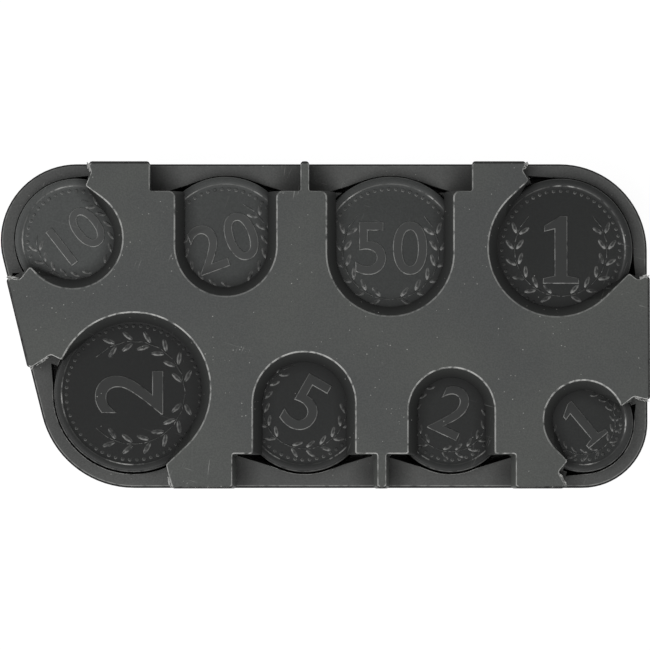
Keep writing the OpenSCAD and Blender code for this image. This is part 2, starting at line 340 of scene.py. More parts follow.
class Effects:
    """Shader node groups that several finishes share, each built once."""

    def __init__(self) -> None:
        """Builds the groups."""
        self.grain = self._spark_grain()
        self.mottle = self._mottle()
        self.dust = self._dust()
        self.scuffs = self._scuffs()
        self.wear = self._wear_and_glint_line()

    @staticmethod
    def _group(
        name: str, inputs: dict[str, object], outputs: dict[str, str],
    ) -> tuple[bpy.types.NodeTree, NodeBoard]:
        """Starts a group with its sockets.

        Args:
            name: Name of the group.
            inputs: Default of each input, a number or a colour.
            outputs: Socket type of each output.

        Returns:
            The group and a board to place its nodes on.
        """
        tree = bpy.data.node_groups.new(name, "ShaderNodeTree")
        for label, value in inputs.items():
            kind = "NodeSocketFloat" if isinstance(value, float) else "NodeSocketColor"
            socket = tree.interface.new_socket(label, in_out="INPUT", socket_type=kind)
            socket.default_value = value
        for label, kind in outputs.items():
            tree.interface.new_socket(label, in_out="OUTPUT", socket_type=kind)
        return tree, NodeBoard(tree)

    def _spark_grain(self) -> bpy.types.NodeTree:
        """Builds the fine pitted grain of a spark-eroded mould.

        Returns:
            The group, which puts out a height.
        """
        tree, board = self._group("spark_grain", {"Scale": 4200.0}, {"Height": "NodeSocketFloat"})
        scale = board.add("NodeGroupInput").outputs["Scale"]
        where = board.place()
        inputs = {"Vector": where, "Scale": scale, "Detail": 3.0, "Roughness": 0.62}
        fine = board.add("ShaderNodeTexNoise", inputs).outputs["Fac"]
        wide = board.math("MULTIPLY", scale, 0.45)
        pits = board.add("ShaderNodeTexVoronoi", {"Vector": where, "Scale": wide}, feature="SMOOTH_F1")
        height = board.math("MULTIPLY_ADD", pits.outputs["Distance"], 0.6, fine)
        board.add("NodeGroupOutput", {"Height": height})
        return tree

    def _mottle(self) -> bpy.types.NodeTree:
        """Builds the slow change of tone of handled plastic.

        Returns:
            The group, which puts out a colour.
        """
        grey = (0.1, 0.1, 0.1, 1.0)
        inputs = {"Colour": grey, "Second": grey, "Scale": 45.0, "Speckle": 0.22}
        tree, board = self._group("mottle", inputs, {"Colour": "NodeSocketColor"})
        given = board.add("NodeGroupInput").outputs
        where = board.place()
        slow = board.add("ShaderNodeTexNoise", {"Vector": where, "Scale": given["Scale"], "Detail": 4.0})
        share = board.ramp(slow.outputs["Fac"], 0.34, 0.68)
        tone = board.blend(share, given["Colour"], given["Second"])
        speck = board.add("ShaderNodeTexNoise", {"Vector": where, "Scale": 3800.0, "Detail": 2.0})
        light = board.ramp(speck.outputs["Fac"], 0.3, 0.72)
        level = board.math("MULTIPLY_ADD", board.math("SUBTRACT", light, 0.5), given["Speckle"], 1.0)
        channels = {"Red": level, "Green": level, "Blue": level}
        speckle = board.add("ShaderNodeCombineColor", channels).outputs[0]
        board.add("NodeGroupOutput", {"Colour": board.blend(1.0, tone, speckle, "MULTIPLY")})
        return tree

    def _dust(self) -> bpy.types.NodeTree:
        """Builds sparse pale specks of dust.

        Returns:
            The group, which puts out a mask.
        """
        tree, board = self._group("dust", {"Amount": 0.5, "Scale": 1500.0}, {"Mask": "NodeSocketFloat"})
        given = board.add("NodeGroupInput").outputs
        where = board.place()
        cells = board.add("ShaderNodeTexVoronoi", {"Vector": where, "Scale": given["Scale"]})
        chance = board.add("ShaderNodeSeparateColor", {"Color": cells.outputs["Color"]}).outputs
        size = board.math("MULTIPLY_ADD", chance["Green"], 0.1, 0.05)
        spot = board.math("LESS_THAN", cells.outputs["Distance"], size)
        cluster = board.add("ShaderNodeTexNoise", {"Vector": where, "Scale": 120.0, "Detail": 2.0})
        limit = board.math("MULTIPLY", board.ramp(cluster.outputs["Fac"], 0.42, 0.7), given["Amount"])
        chosen = board.math("LESS_THAN", chance["Red"], limit)
        pale = board.math("MULTIPLY_ADD", chance["Blue"], 0.7, 0.3)
        specks = board.math("MULTIPLY", spot, chosen)
        board.add("NodeGroupOutput", {"Mask": board.math("MULTIPLY", specks, pale)})
        return tree

    def _scuffs(self) -> bpy.types.NodeTree:
        """Builds short hairline scuffs in three directions.

        Returns:
            The group, which puts out a mask.
        """
        tree, board = self._group("scuffs", {"Amount": 0.5}, {"Mask": "NodeSocketFloat"})
        amount = board.add("NodeGroupInput").outputs["Amount"]
        lines = []
        for turn, along, across in ((0.3, 260.0, 4200.0), (-1.2, 300.0, 4600.0), (1.7, 220.0, 3800.0)):
            where = board.place((along, across, 150.0), turn)
            hair = board.add("ShaderNodeTexNoise", {"Vector": where, "Scale": 1.0, "Detail": 0.0})
            lines.append(board.ramp(hair.outputs["Fac"], 0.78, 0.84))
        every = board.math("MAXIMUM", board.math("MAXIMUM", lines[0], lines[1]), lines[2])
        patch = board.add("ShaderNodeTexNoise", {"Vector": board.place(), "Scale": 70.0, "Detail": 2.0})
        sparse = board.math("MULTIPLY", every, board.ramp(patch.outputs["Fac"], 0.56, 0.7))
        board.add("NodeGroupOutput", {"Mask": board.math("MULTIPLY", sparse, amount)})
        return tree

    def _wear_and_glint_line(self) -> bpy.types.NodeTree:
        """Builds the broken line of wear and painted highlight along rounded edges.

        Returns:
            The group, which puts out a mask.
        """
        tree, board = self._group("wear_and_glint_line", {"Amount": 0.5}, {"Mask": "NodeSocketFloat"})
        amount = board.add("NodeGroupInput").outputs["Amount"]
        worn = board.attribute(WEAR_AND_GLINT)
        patch = board.add("ShaderNodeTexNoise", {"Vector": board.place(), "Scale": 900.0, "Detail": 5.0})
        broken = board.ramp(patch.outputs["Fac"], 0.3, 0.56)
        line = board.math("MULTIPLY", worn, broken)
        board.add("NodeGroupOutput", {"Mask": board.math("MULTIPLY", line, amount)})
        return tree


@dataclass(frozen=True)
class MouldedPlastic:
    """Spark-textured dark ABS.

    Attributes:
        name: Name of the material.
        slot: Material slot of the record.
        colour: Main colour, linear.
        second: Colour of its paler patches.
        cut_and_shade_colour: Colour of smooth cut walls, where the piece has any, and of painted shade on
            the cover's slopes and outer edges.
        wear_and_glint_colour: Colour of worn edges and of their painted highlights.
        dust_colour: Colour of the dust.
        roughness: Roughness of the moulded skin.
        gloss: Specular level.
        grain_scale: Grains a metre.
        grain_depth: Depth of the grain, in metres.
        dust: Share of cells with a speck of dust.
        scuff: Strength of the scuffs.
        wear: Strength of the edge wear and its painted highlights.
        shade: Strength of the painted shade under the lips.
        corners: Places where painted shade gathers in the corners, in millimetres.
        corner_shade: Strength of that painted shade.
        corner_reach: How far it spreads, in millimetres.
    """

    name: str
    slot: str
    colour: tuple[float, float, float]
    second: tuple[float, float, float]
    cut_and_shade_colour: tuple[float, float, float] = (0.02, 0.02, 0.02)
    wear_and_glint_colour: tuple[float, float, float] = (0.36, 0.36, 0.35)
    dust_colour: tuple[float, float, float] = (0.45, 0.45, 0.43)
    roughness: float = 0.55
    gloss: float = 0.12
    grain_scale: float = 4200.0
    grain_depth: float = 0.00002
    dust: float = 0.45
    scuff: float = 0.3
    wear: float = 0.8
    shade: float = 0.7
    corners: tuple[tuple[float, float, float], ...] = ()
    corner_shade: float = 0.6
    corner_reach: float = 5.5

    def build(self, effects: Effects) -> bpy.types.Material:
        """Builds the material.

        Args:
            effects: Shared node groups.

        Returns:
            The material.
        """
        material, board = NodeBoard.for_material(self.name)
        cut = board.attribute(CUT)
        dust = board.mask(effects.dust, Amount=self.dust)
        grain = board.add("ShaderNodeGroup", {"Scale": self.grain_scale}, node_tree=effects.grain)
        height = board.math("MULTIPLY", grain.outputs["Height"], board.math("SUBTRACT", 1.0, cut))
        relief = {"Height": height, "Distance": self.grain_depth, "Strength": 1.0}
        bump = board.add("ShaderNodeBump", relief)
        inputs = {
            "Base Color": self._skin(board, effects, cut, dust),
            "Roughness": self._rough(board, cut, dust),
            "Normal": bump.outputs["Normal"],
            "Specular IOR Level": self.gloss,
        }
        surface = board.add("ShaderNodeBsdfPrincipled", inputs)
        board.add("ShaderNodeOutputMaterial", {"Surface": surface.outputs[0]})
        return material

    def _skin(
        self, board: NodeBoard, effects: Effects, cut: bpy.types.NodeSocket, dust: bpy.types.NodeSocket,
    ) -> bpy.types.NodeSocket:
        """Lays the colours over each other: plastic, cut walls, scuffs, dust, wear with painted
        highlights, and painted shade.

        Args:
            board: Board of the material.
            effects: Shared node groups.
            cut: Socket of the mask of cut walls.
            dust: Socket of the mask of dust.

        Returns:
            The socket of the colour.
        """
        tones = {"Colour": (*self.colour, 1.0), "Second": (*self.second, 1.0)}
        tone = board.add("ShaderNodeGroup", tones, node_tree=effects.mottle)
        skin = board.blend(cut, tone.outputs["Colour"], (*self.cut_and_shade_colour, 1.0))
        scuffs = board.mask(effects.scuffs, Amount=self.scuff)
        skin = board.blend(scuffs, skin, (*self.wear_and_glint_colour, 1.0))
        skin = board.blend(board.math("MULTIPLY", dust, 0.7), skin, (*self.dust_colour, 1.0))
        wear = board.mask(effects.wear, Amount=self.wear)
        skin = board.blend(wear, skin, (*self.wear_and_glint_colour, 1.0))
        # Painted shade under the lips and in the corners of the ledge.
        painted_shade = board.math("MULTIPLY", board.attribute(SHADE), self.shade)
        if self.corners:
            painted_shade = board.math("MAXIMUM", painted_shade, self._corner_painted_shade(board))
        return board.blend(painted_shade, skin, (0.0, 0.0, 0.0, 1.0))

    def _rough(
        self, board: NodeBoard, cut: bpy.types.NodeSocket, dust: bpy.types.NodeSocket,
    ) -> bpy.types.NodeSocket:
        """Makes cut walls and worn edges smoother, and dust rougher.

        Args:
            board: Board of the material.
            cut: Socket of the mask of cut walls.
            dust: Socket of the mask of dust.

        Returns:
            The socket of the roughness.
        """
        rough = board.math("MULTIPLY_ADD", cut, -0.1, self.roughness)
        rough = board.math("MULTIPLY_ADD", board.attribute(WEAR_AND_GLINT), -0.2, rough)
        return board.math("MULTIPLY_ADD", dust, 0.2, rough, clamp=True)

    def _corner_painted_shade(self, board: NodeBoard) -> bpy.types.NodeSocket:
        """Adds the painted shade in the corners where the ledge meets the walls.

        Args:
            board: Board of the material.

        Returns:
            The socket of its strength.
        """
        where = board.place()
        nearest = None
        for corner in self.corners:
            inputs = {0: where, 1: Vector(corner) * MM}
            gap = board.add("ShaderNodeVectorMath", inputs, operation="DISTANCE").outputs["Value"]
            nearest = gap if nearest is None else board.math("MINIMUM", nearest, gap)
        return board.math("MULTIPLY", board.ramp(nearest, self.corner_reach * MM, 0.0), self.corner_shade)


@dataclass(frozen=True)
class DrawnSteel:
    """Drawn or plated steel of the springs and screws.

    Attributes:
        name: Name of the material.
        slot: Material slot of the record.
        colour: Main colour, linear.
        second: Colour of its duller patches.
        roughness: Roughness of the metal.
        patch_scale: Patches a metre.
        grain_depth: Depth of the grain, in metres.
        dust: Share of cells with a dull speck.
        dust_scale: Cells a metre.
    """

    name: str
    slot: str
    colour: tuple[float, float, float]
    second: tuple[float, float, float]
    roughness: float = 0.3
    patch_scale: float = 700.0
    grain_depth: float = 0.000008
    dust: float = 0.3
    dust_scale: float = 2200.0

    def build(self, effects: Effects) -> bpy.types.Material:
        """Builds the material.

        Args:
            effects: Shared node groups.

        Returns:
            The material.
        """
        material, board = NodeBoard.for_material(self.name)
        tones = {"Colour": (*self.colour, 1.0), "Second": (*self.second, 1.0), "Scale": self.patch_scale}
        tone = board.add("ShaderNodeGroup", tones, node_tree=effects.mottle)
        dust = board.mask(effects.dust, Amount=self.dust, Scale=self.dust_scale)
        rough = board.math("ADD", self.roughness, board.math("MULTIPLY", dust, 0.25))
        grain = board.add("ShaderNodeGroup", node_tree=effects.grain)
        relief = {"Height": grain.outputs["Height"], "Distance": self.grain_depth}
        bump = board.add("ShaderNodeBump", relief)
        inputs = {
            "Base Color": tone.outputs["Colour"],
            "Metallic": 1.0,
            "Roughness": rough,
            "Normal": bump.outputs["Normal"],
        }
        surface = board.add("ShaderNodeBsdfPrincipled", inputs)
        board.add("ShaderNodeOutputMaterial", {"Surface": surface.outputs[0]})
        return material


class Piece:
    """A bmesh that becomes one finished object."""

    def __init__(self, name: str) -> None:
        """Starts an empty piece.

        Args:
            name: Name of the piece.
        """
        self.name = name
        self.bm = bmesh.new()
        self.worn = self.bm.faces.layers.float.new(WEAR_AND_GLINT)
        self.cut = self.bm.loops.layers.float.new(CUT)
        self.shade = self.bm.loops.layers.float.new(SHADE)

    @classmethod
    def from_node(cls, name: str, node: bpy.types.Object) -> "Piece":
        """Copies a CAD solid, with its loose triangles joined into plain faces.

        Args:
            name: Name of the piece.
            node: CAD object.

        Returns:
            The piece to round and finish.
        """
        piece = cls(name)
        bm = piece.bm
        bm.from_mesh(node.data)
        bm.transform(node.matrix_world)
        piece.worn = bm.faces.layers.float[WEAR_AND_GLINT]
        piece.cut = bm.loops.layers.float[CUT]
        piece.shade = bm.loops.layers.float[SHADE]
        bmesh.ops.remove_doubles(bm, verts=bm.verts[:], dist=TINY)
        bmesh.ops.dissolve_limit(bm, angle_limit=radians(0.5), verts=bm.verts[:], edges=bm.edges[:])
        return piece

    def wear(self, faces: Iterable[bmesh.types.BMFace], worn: float) -> None:
        """Marks wear and painted highlight on rounded edges, most where they face the front lamp and
        least at the back.

        Args:
            faces: Faces of the rounded edges.
            worn: Wear and painted highlight of an edge that faces sideways.
        """
        for face in faces:
            face.normal_update()
            flat = face.normal.to_2d()
            facing = flat.normalized().y if flat.length > 0.05 else 0.0
            face[self.worn] = worn * (1.0 - 0.65 * facing)

    @staticmethod
    def is_sharp(edge: bmesh.types.BMEdge) -> bool:
        """Tells whether an edge is sharp enough to be rounded."""
        return len(edge.link_faces) == 2 and edge.calc_face_angle(0.0) > radians(60)

    def bevel(
        self, edges: Iterable[bmesh.types.BMEdge], width: float, segments: int, worn: float = 0.0,
    ) -> list[bmesh.types.BMFace]:
        """Rounds edges.

        Args:
            edges: Edges to round.
            width: Width of the rounding, in metres.
            segments: Number of faces across it.
            worn: Wear and painted highlight to mark on it.

        Returns:
            The faces of the rounding.
        """
        made = bmesh.ops.bevel(
            self.bm, geom=list(edges), offset=width, offset_type="OFFSET", segments=segments, profile=0.5,
            affect="EDGES", material=-1, clamp_overlap=False,
        )
        self.wear(made["faces"], worn)
        return made["faces"]

    def finish(
        self, material: bpy.types.Material, body: str, slot: str, *nodes: str, sharp: float = 35.0,
    ) -> bpy.types.Object:
        """Makes the object, dresses it and puts it on its body.

        Args:
            material: Material of the whole piece.
            body: CAD body that it moves with.
            slot: Material slot of the record; not used.
            *nodes: CAD nodes that it stands for.
            sharp: Angle above which an edge stays sharp, in degrees.

        Returns:
            The finished object.
        """
        for face in self.bm.faces:
            face.smooth = True
        mesh = bpy.data.meshes.new(self.name)
        self.bm.to_mesh(mesh)
        self.bm.free()
        mesh.set_sharp_from_angle(angle=radians(sharp))
        mesh.materials.append(material)
        piece = bpy.data.objects.new(self.name, mesh)
        bpy.context.scene.collection.objects.link(piece)
        normals = piece.modifiers.new("even_normals", "WEIGHTED_NORMAL")
        normals.keep_sharp = True
        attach(piece, body)
        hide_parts(*nodes)
        log.info("%s: %d faces, on %s", self.name, len(mesh.polygons), body)
        return piece


class CornerWay(NamedTuple):
    """Ends of a corner well's way out in the cover, in millimetres, in the order of the outline.

    Attributes:
        start: Outer corner, valley and lip tip where the way out starts.
        end: Lip tip, valley and outer corner where it ends.
        shift: Shift of the cut-out's middle from the well's.
        inset: How much smaller than the coin the cut-out is.
    """

    start: tuple[tuple[float, float], ...]
    end: tuple[tuple[float, float], ...]
    shift: tuple[float, float]
    inset: float


class StraightWay(NamedTuple):
    """Way out of a straight well, in millimetres.

    Attributes:
        exit: Side of the case that it opens to.
        first: Where it starts along the row, in the order of the outline.
        last: Where it ends along the row.
        shift: Shift of the cut-out's middle from the well's.
        inset: How much smaller than the coin the cut-out is.
    """

    exit: Exit
    first: float
    last: float
    shift: tuple[float, float]
    inset: float


@dataclass
class Cover:
    """Top moulding, with its cut-outs, retaining lips, tabs and two thin ribs.

    Attributes:
        wells: The eight wells by name.
        top_z: Height of the top face.
        lip_z: Height of the underside of the lips.
        lip_step: Drop of the step back under the lips.
        foot_z: Height of the ledge that the cover stands on.
        edge_x: Distance of the right-hand edge from the middle.
        edge_y: Distance of the long edges from the middle.
        upper_y: Inner line of the upper straight ways out.
        lower_y: Inner line of the lower straight ways out.
        slope_w: Width of the sloped wall of a cut-out, in plan.
        slope_shade: How dark that wall is at its upper edge, as a share.
        edge_r: Rounding of the top edge.
        chamfer: Width and depth of the chamfer along the outer edge.
        outer_wear: Share of the wear that the outer edge keeps.
        draft: How far the walls of the lower straight ways out lean in.
        lower_mouth: Rounding of the lower cut-outs' mouths, as a share of the upper ones'.
        outer_r: Rounding of a way's ends at the outer edge.
        valley_r: Rounding of the valleys at the ends of a corner way.
        tip_r: Rounding of the tips of a corner well's lip.
        under_tip_r: Rounding of the wall's ends below those tips.
        under_swing: Angle from such an end to the start of the round wall, in radians.
        point_gap: Spacing of the points along an outline.
        fray_wear: Wear at the ragged ends of the corner ways out.
        fray_reach: How far it reaches.
        burr_gap: Spacing of the torn flakes at those ends.
        burr_t: Thickness of the flakes.
        burr_seed: Seed of the flakes' sizes and places.
        ways: The way out of each well, in the order of the outline.
    """

    wells: dict[str, Well]
    top_z: float = 19.0
    lip_z: float = 17.3
    lip_step: float = 0.02
    foot_z: float = 14.8
    edge_x: float = 52.5
    edge_y: float = 26.4
    upper_y: float = 21.6
    lower_y: float = 20.8
    slope_w: float = 1.5
    slope_shade: float = 0.55
    edge_r: float = 0.15
    chamfer: float = 0.25
    outer_wear: float = 0.12
    draft: float = 0.6
    lower_mouth: float = 0.35
    outer_r: float = 0.5
    valley_r: float = 0.7
    tip_r: float = 0.35
    under_tip_r: float = 0.05
    under_swing: float = 0.06
    point_gap: float = 0.2
    fray_wear: float = 0.9
    fray_reach: float = 1.4
    burr_gap: float = 0.16
    burr_t: float = 0.1
    burr_seed: int = 11
    ways: dict[str, CornerWay | StraightWay] = field(default_factory=lambda: {
        "100": CornerWay(
            start=((52.55, 8.0), (50.6, 7.2), (49.2, 8.25)),
            end=((33.05, 23.35), (32.0, 25.0), (32.9, 26.4)),
            shift=(-0.72, 0.23), inset=0.5,
        ),
        "050": StraightWay(Exit.UP, 23.93, -2.4, (-0.1, -0.36), 1.86),
        "020": StraightWay(Exit.UP, -3.8, -28.13, (0.12, -0.2), 2.88),
        "010": CornerWay(
            start=((-38.1, 26.4), (-37.6, 24.6), (-38.5, 22.45)),
            end=((-47.4, 9.4), (-49.1, 7.25), (-51.35, 7.6)),
            shift=(-0.4, -0.01), inset=1.75,
        ),
        "200": CornerWay(
            start=((-47.72, -7.15), (-44.0, -4.85), (-42.28, -5.7)),
            end=((-25.4, -22.6), (-25.0, -24.2), (-24.4, -26.4)),
            shift=(0.04, 0.43), inset=0.4,
        ),
        "005": StraightWay(Exit.DOWN, -14.77, 8.6, (-0.1, 0.48), 2.31),
        "002": StraightWay(Exit.DOWN, 10.0, 30.87, (0.08, 0.5), 2.37),
        "001": CornerWay(
            start=((39.0, -26.4), (37.65, -23.75), (39.2, -21.95)),
            end=((47.9, -13.15), (49.9, -11.6), (52.55, -12.2)),
            shift=(0.0, 0.22), inset=1.63,
        ),
    })

    def build(self, material: bpy.types.Material, slot: str) -> bpy.types.Object:
        """Builds the cover by drawing its outline down from level to level.

        Args:
            material: Material of the cover.
            slot: Material slot of the record.

        Returns:
            The finished cover.
        """
        piece = Piece("cover_shell")
        bm = piece.bm
        heights = {
            Level.TOP: self.top_z, Level.EDGE: self.top_z - self.chamfer, Level.LIP: self.lip_z,
            Level.SPACE: self.lip_z - self.lip_step, Level.FOOT: self.foot_z,
        }
        loops = {}
        for level, z in heights.items():
            loops[level] = [point.to_3d() + Vector((0, 0, z)) for point in self.outline(level)]
        ring = [bm.verts.new(p * MM) for p in loops[Level.TOP]]
        top = bm.faces.new(ring)
        for level in (Level.EDGE, Level.LIP, Level.SPACE, Level.FOOT):
            edges = [bm.edges.get((a, b)) for a, b in zip(ring, ring[1:] + ring[:1])]
            made = bmesh.ops.extrude_edge_only(bm, edges=edges)["geom"]
            fresh = {v for v in made if isinstance(v, bmesh.types.BMVert)}
            ring = [next(e.other_vert(v) for e in v.link_edges if e.other_vert(v) in fresh) for v in ring]
            for vert, point in zip(ring, loops[level]):
                vert.co = point * MM
        bm.faces.new(reversed(ring))
        bmesh.ops.recalc_face_normals(bm, faces=bm.faces[:])
        # The top edge's rounding gets wear and a painted highlight, brightest where it faces the front
        # lamp.
        piece.bevel(top.edges, self.edge_r * MM, 3, worn=0.75)
        self._shade_slopes(piece)
        self._fray_ends(piece)
        self._darken_outside(piece)
        self._burr(piece)
        return piece.finish(material, CASE, slot, "cover")

    def _shade_slopes(self, piece: Piece) -> None:
        """Marks the smooth sloped walls of the cut-outs with the cut colour, which is also painted shade,
        darker and darker towards the discs.

        Args:
            piece: Piece of the cover.
        """
        for face in piece.bm.faces:
            lowest = min(vert.co.z for vert in face.verts) / MM
            if not 0.2 < face.normal.z < 0.95 or lowest > self.top_z - self.chamfer + 0.01:
                continue
            for corner in face.loops:
                depth = (self.top_z - corner.vert.co.z / MM) / (self.top_z - self.lip_z)
                more = (1.0 - self.slope_shade) * max(0.0, depth) ** 0.6
                corner[piece.cut] = min(1.0, self.slope_shade + more)

    def _fray_ends(self, piece: Piece) -> None:
        """Adds wear at the ragged ends of the corner ways out.

        Args:
            piece: Piece of the cover.
        """
        ends = [Vector(point) for way in self._corner_ways() for point in way.start + way.end]
        for face in piece.bm.faces:
            spot = face.calc_center_median() / MM
            near = min((spot.to_2d() - end).length for end in ends)
            if face[piece.worn] > 0 and near < self.fray_reach:
                face[piece.worn] = max(face[piece.worn], self.fray_wear)

    def _corner_ways(self) -> list[CornerWay]:
        """Gives the ways out of the corner wells."""
        return [way for way in self.ways.values() if isinstance(way, CornerWay)]

    def _outer_runs(self) -> list[tuple[Vector, Vector]]:
        """Gives the straight runs of the outer edge.

        Returns:
            Both ends of the run before each way out, in millimetres.
        """
        ends = []
        for way in self.ways.values():
            if isinstance(way, CornerWay):
                ends.append((Vector(way.start[0]), Vector(way.end[2])))
            else:
                edge = way.exit.value * self.edge_y
                ends.append((Vector((way.first, edge)), Vector((way.last, edge))))
        return [(ends[index - 1][1], ends[index][0]) for index in range(len(ends))]

    def _darken_outside(self, piece: Piece) -> None:
        """Marks the outer edge smoother and less worn than the edges of the cut-outs, and darkens it with
        the cut colour as painted shade.

        Args:
            piece: Piece of the cover.
        """
        runs = self._outer_runs()
        for face in piece.bm.faces:
            tilted = len(face.verts) < 8 and face.normal.z > 0.1
            if tilted and self._off_runs(face.calc_center_median(), runs) < self.chamfer + self.edge_r:
                face[piece.worn] *= self.outer_wear
                for corner in face.loops:
                    corner[piece.cut] = 1.0

    @staticmethod
    def _off_runs(at: Vector, runs: list[tuple[Vector, Vector]]) -> float:
        """Gives the distance from a point to the nearest run of the outer edge.

        Args:
            at: The point, in metres.
            runs: Both ends of each run, in millimetres.

        Returns:
            The distance in plan, in millimetres.
        """
        spot = at.to_2d() / MM
        found = []
        for start, end in runs:
            share = min(1.0, max(0.0, intersect_point_line(spot, start, end)[1]))
            found.append((spot - start.lerp(end, share)).length)
        return min(found)

    def _burr(self, piece: Piece) -> None:
        """Leaves torn flakes of flash along the ends of the corner ways out.

        Args:
            piece: Piece of the cover.
        """
        draw = Random(self.burr_seed)
        runs = [run for way in self._corner_ways() for run in (way.start[:2], way.end[1:])]
        for start, end in runs:
            along = Vector(end) - Vector(start)
            for _ in range(int(along.length / self.burr_gap)):
                at = Vector(start) + along * draw.uniform(0.15, 0.85)
                turn = atan2(along.y, along.x) + draw.uniform(-0.5, 0.5)
                size = Matrix.Diagonal((draw.uniform(0.3, 0.9), draw.uniform(0.12, 0.26), 1, 1))
                side = Vector((along.y, -along.x)).normalized() * draw.uniform(-0.12, 0.3)
                height = self.top_z - self.burr_t / 2 - draw.uniform(0.0, 0.04)
                spot = (at + side).to_3d() + Vector((0, 0, height))
                place = Matrix.Translation(spot * MM) @ Matrix.Rotation(turn, 4, "Z") @ size
                flake = bmesh.ops.create_cone(
                    piece.bm, cap_ends=True, cap_tris=False, segments=6,
                    radius1=0.5 * MM, radius2=0.3 * MM, depth=self.burr_t * MM, matrix=place,
                )
                for vert in flake["verts"]:
                    vert.co.x = min(self.edge_x * MM, max(-self.edge_x * MM, vert.co.x))
                    vert.co.y = min(self.edge_y * MM, max(-self.edge_y * MM, vert.co.y))
                wear = draw.uniform(0.8, 1.5)
                for face in {face for vert in flake["verts"] for face in vert.link_faces}:
                    face[piece.worn] = wear

    def ledge_corners(self) -> tuple[tuple[float, float, float], ...]:
        """Gives the corners where the ledge meets the ends of the straight ways out, where painted shade
        is laid.

        Returns:
            Their places, in millimetres.
        """
        corners = []
        for way in self.ways.values():
            if isinstance(way, StraightWay):
                inner = self.upper_y if way.exit is Exit.UP else self.lower_y
                across = way.exit.value * (inner + self.edge_y) / 2
                corners += [(way.first, across, self.foot_z), (way.last, across, self.foot_z)]
        return tuple(corners)

    def outline(self, level: Level) -> list[Vector]:
        """Draws the outline of the cover at one level.

        Args:
            level: The level.

        Returns:
            Its points in millimetres, anticlockwise.
        """
        path = PlanPath()
        for name, way in self.ways.items():
            if isinstance(way, CornerWay):
                self._corner_way(path, self.wells[name], way, level)
            else:
                self._straight_way(path, self.wells[name], way, level)
        return path.trace()

    def points(self, level: Level) -> KDTree:
        """Gives points all along the outline at one level.

        Args:
            level: The level.

        Returns:
            The points at height 0, in millimetres, ready to be searched.
        """
        points = self.outline(level)
        spots = []
        for start, end in zip(points, points[1:] + points[:1]):
            count = 1 + int((end - start).length / self.point_gap)
            spots.extend(start.lerp(end, index / count) for index in range(count))
        tree = KDTree(len(spots))
        for index, spot in enumerate(spots):
            tree.insert(spot.to_3d(), index)
        tree.balance()
        return tree

    def _circle(self, well: Well, way: CornerWay | StraightWay, level: Level) -> tuple[Vector, float]:
        """Gives the circle of a cut-out at one level.

        Args:
            well: The well.
            way: Its way out.
            level: The level.

        Returns:
            The centre and the radius, in millimetres.
        """
        if level in (Level.SPACE, Level.FOOT):
            return well.middle, well.wall_r
        edge_share = self.chamfer / (self.top_z - self.lip_z)
        down = {Level.TOP: 0.0, Level.EDGE: edge_share, Level.LIP: 1.0}[level]
        radius = well.coin_r - way.inset - down * self.slope_w
        return well.middle + Vector(way.shift), radius

    def _straight_way(self, path: PlanPath, well: Well, way: StraightWay, level: Level) -> None:
        """Adds the way out of a straight well to the outline.

        Args:
            path: Outline so far.
            well: The well.
            way: Its way out.
            level: The level.
        """
        side = way.exit.value
        shape = level.value
        lean = 0.0 if side > 0 else self.draft * shape.lean
        inner = side * (self.upper_y if side > 0 else self.lower_y + 0.6 * lean)
        first = way.first + side * -lean
        last = way.last + side * lean
        middle, radius = self._circle(well, way, level)
        mouth = shape.mouth_r * (1.0 if side > 0 else self.lower_mouth)
        edge = side * (self.edge_y - (self.chamfer if level is Level.TOP else 0.0))
        path.corner((first, edge), self.outer_r)
        path.corner((first, inner), shape.bend_r)
        path.corner((middle.x + side * radius, inner), mouth)
        start = 0.0 if side > 0 else pi
        path.arc(middle, radius, start, start - pi, steps=44)
        path.corner((middle.x - side * radius, inner), mouth)
        path.corner((last, inner), shape.bend_r)
        path.corner((last, edge), self.outer_r)

    def _corner_way(self, path: PlanPath, well: Well, way: CornerWay, level: Level) -> None:
        """Adds the way out of a corner well to the outline.

        Args:
            path: Outline so far.
            well: The well.
            way: Its way out.
            level: The level.
        """
        middle, radius = self._circle(well, way, level)
        under = level in (Level.SPACE, Level.FOOT)
        tips = [Vector(way.start[2]), Vector(way.end[0])]
        angles = []
        for index, sign in enumerate((-1, 1)):
            away = tips[index] - middle
            if under:
                tips[index] = middle + away * max(1.0, radius / away.length)
                swing = self.under_swing
            else:
                swing = acos(min(1.0, radius / away.length))
            angles.append(atan2(away.y, away.x) + sign * swing)
        while angles[1] > angles[0]:
            angles[1] -= 2 * pi
        tip_r = self.under_tip_r if under else self.tip_r
        path.corner(self._outer_point(way.start[0], level), self.outer_r)
        path.corner(way.start[1], self.valley_r)
        path.corner(tips[0], tip_r)
        path.arc(middle, radius, angles[0], angles[1], steps=60)
        path.corner(tips[1], tip_r)
        path.corner(way.end[1], self.valley_r)
        path.corner(self._outer_point(way.end[2], level), self.outer_r)

    def _outer_point(self, at: tuple[float, float], level: Level) -> tuple[float, float]:
        """Gives an end of a corner way on the outer edge, drawn in above the chamfer.

        Args:
            at: The end on the outer edge, in millimetres.
            level: The level.

        Returns:
            Its place at that level.
        """
        if level is not Level.TOP:
            return at
        if abs(at[1]) > self.edge_y - 0.01:
            return at[0], at[1] - copysign(self.chamfer, at[1])
        return at[0] - copysign(self.chamfer, at[0]), at[1]


class Infill(NamedTuple):
    """Stretch of the ledge that is carried on up to a disc.

    Attributes:
        well: Name of the disc's well.
        start: Start of its arc round the well, in degrees.
        end: End of that arc.
        outer: Its outer side, from the arc's end back to its start, in millimetres.
    """

    well: str
    start: float
    end: float
    outer: tuple[tuple[float, float], ...]


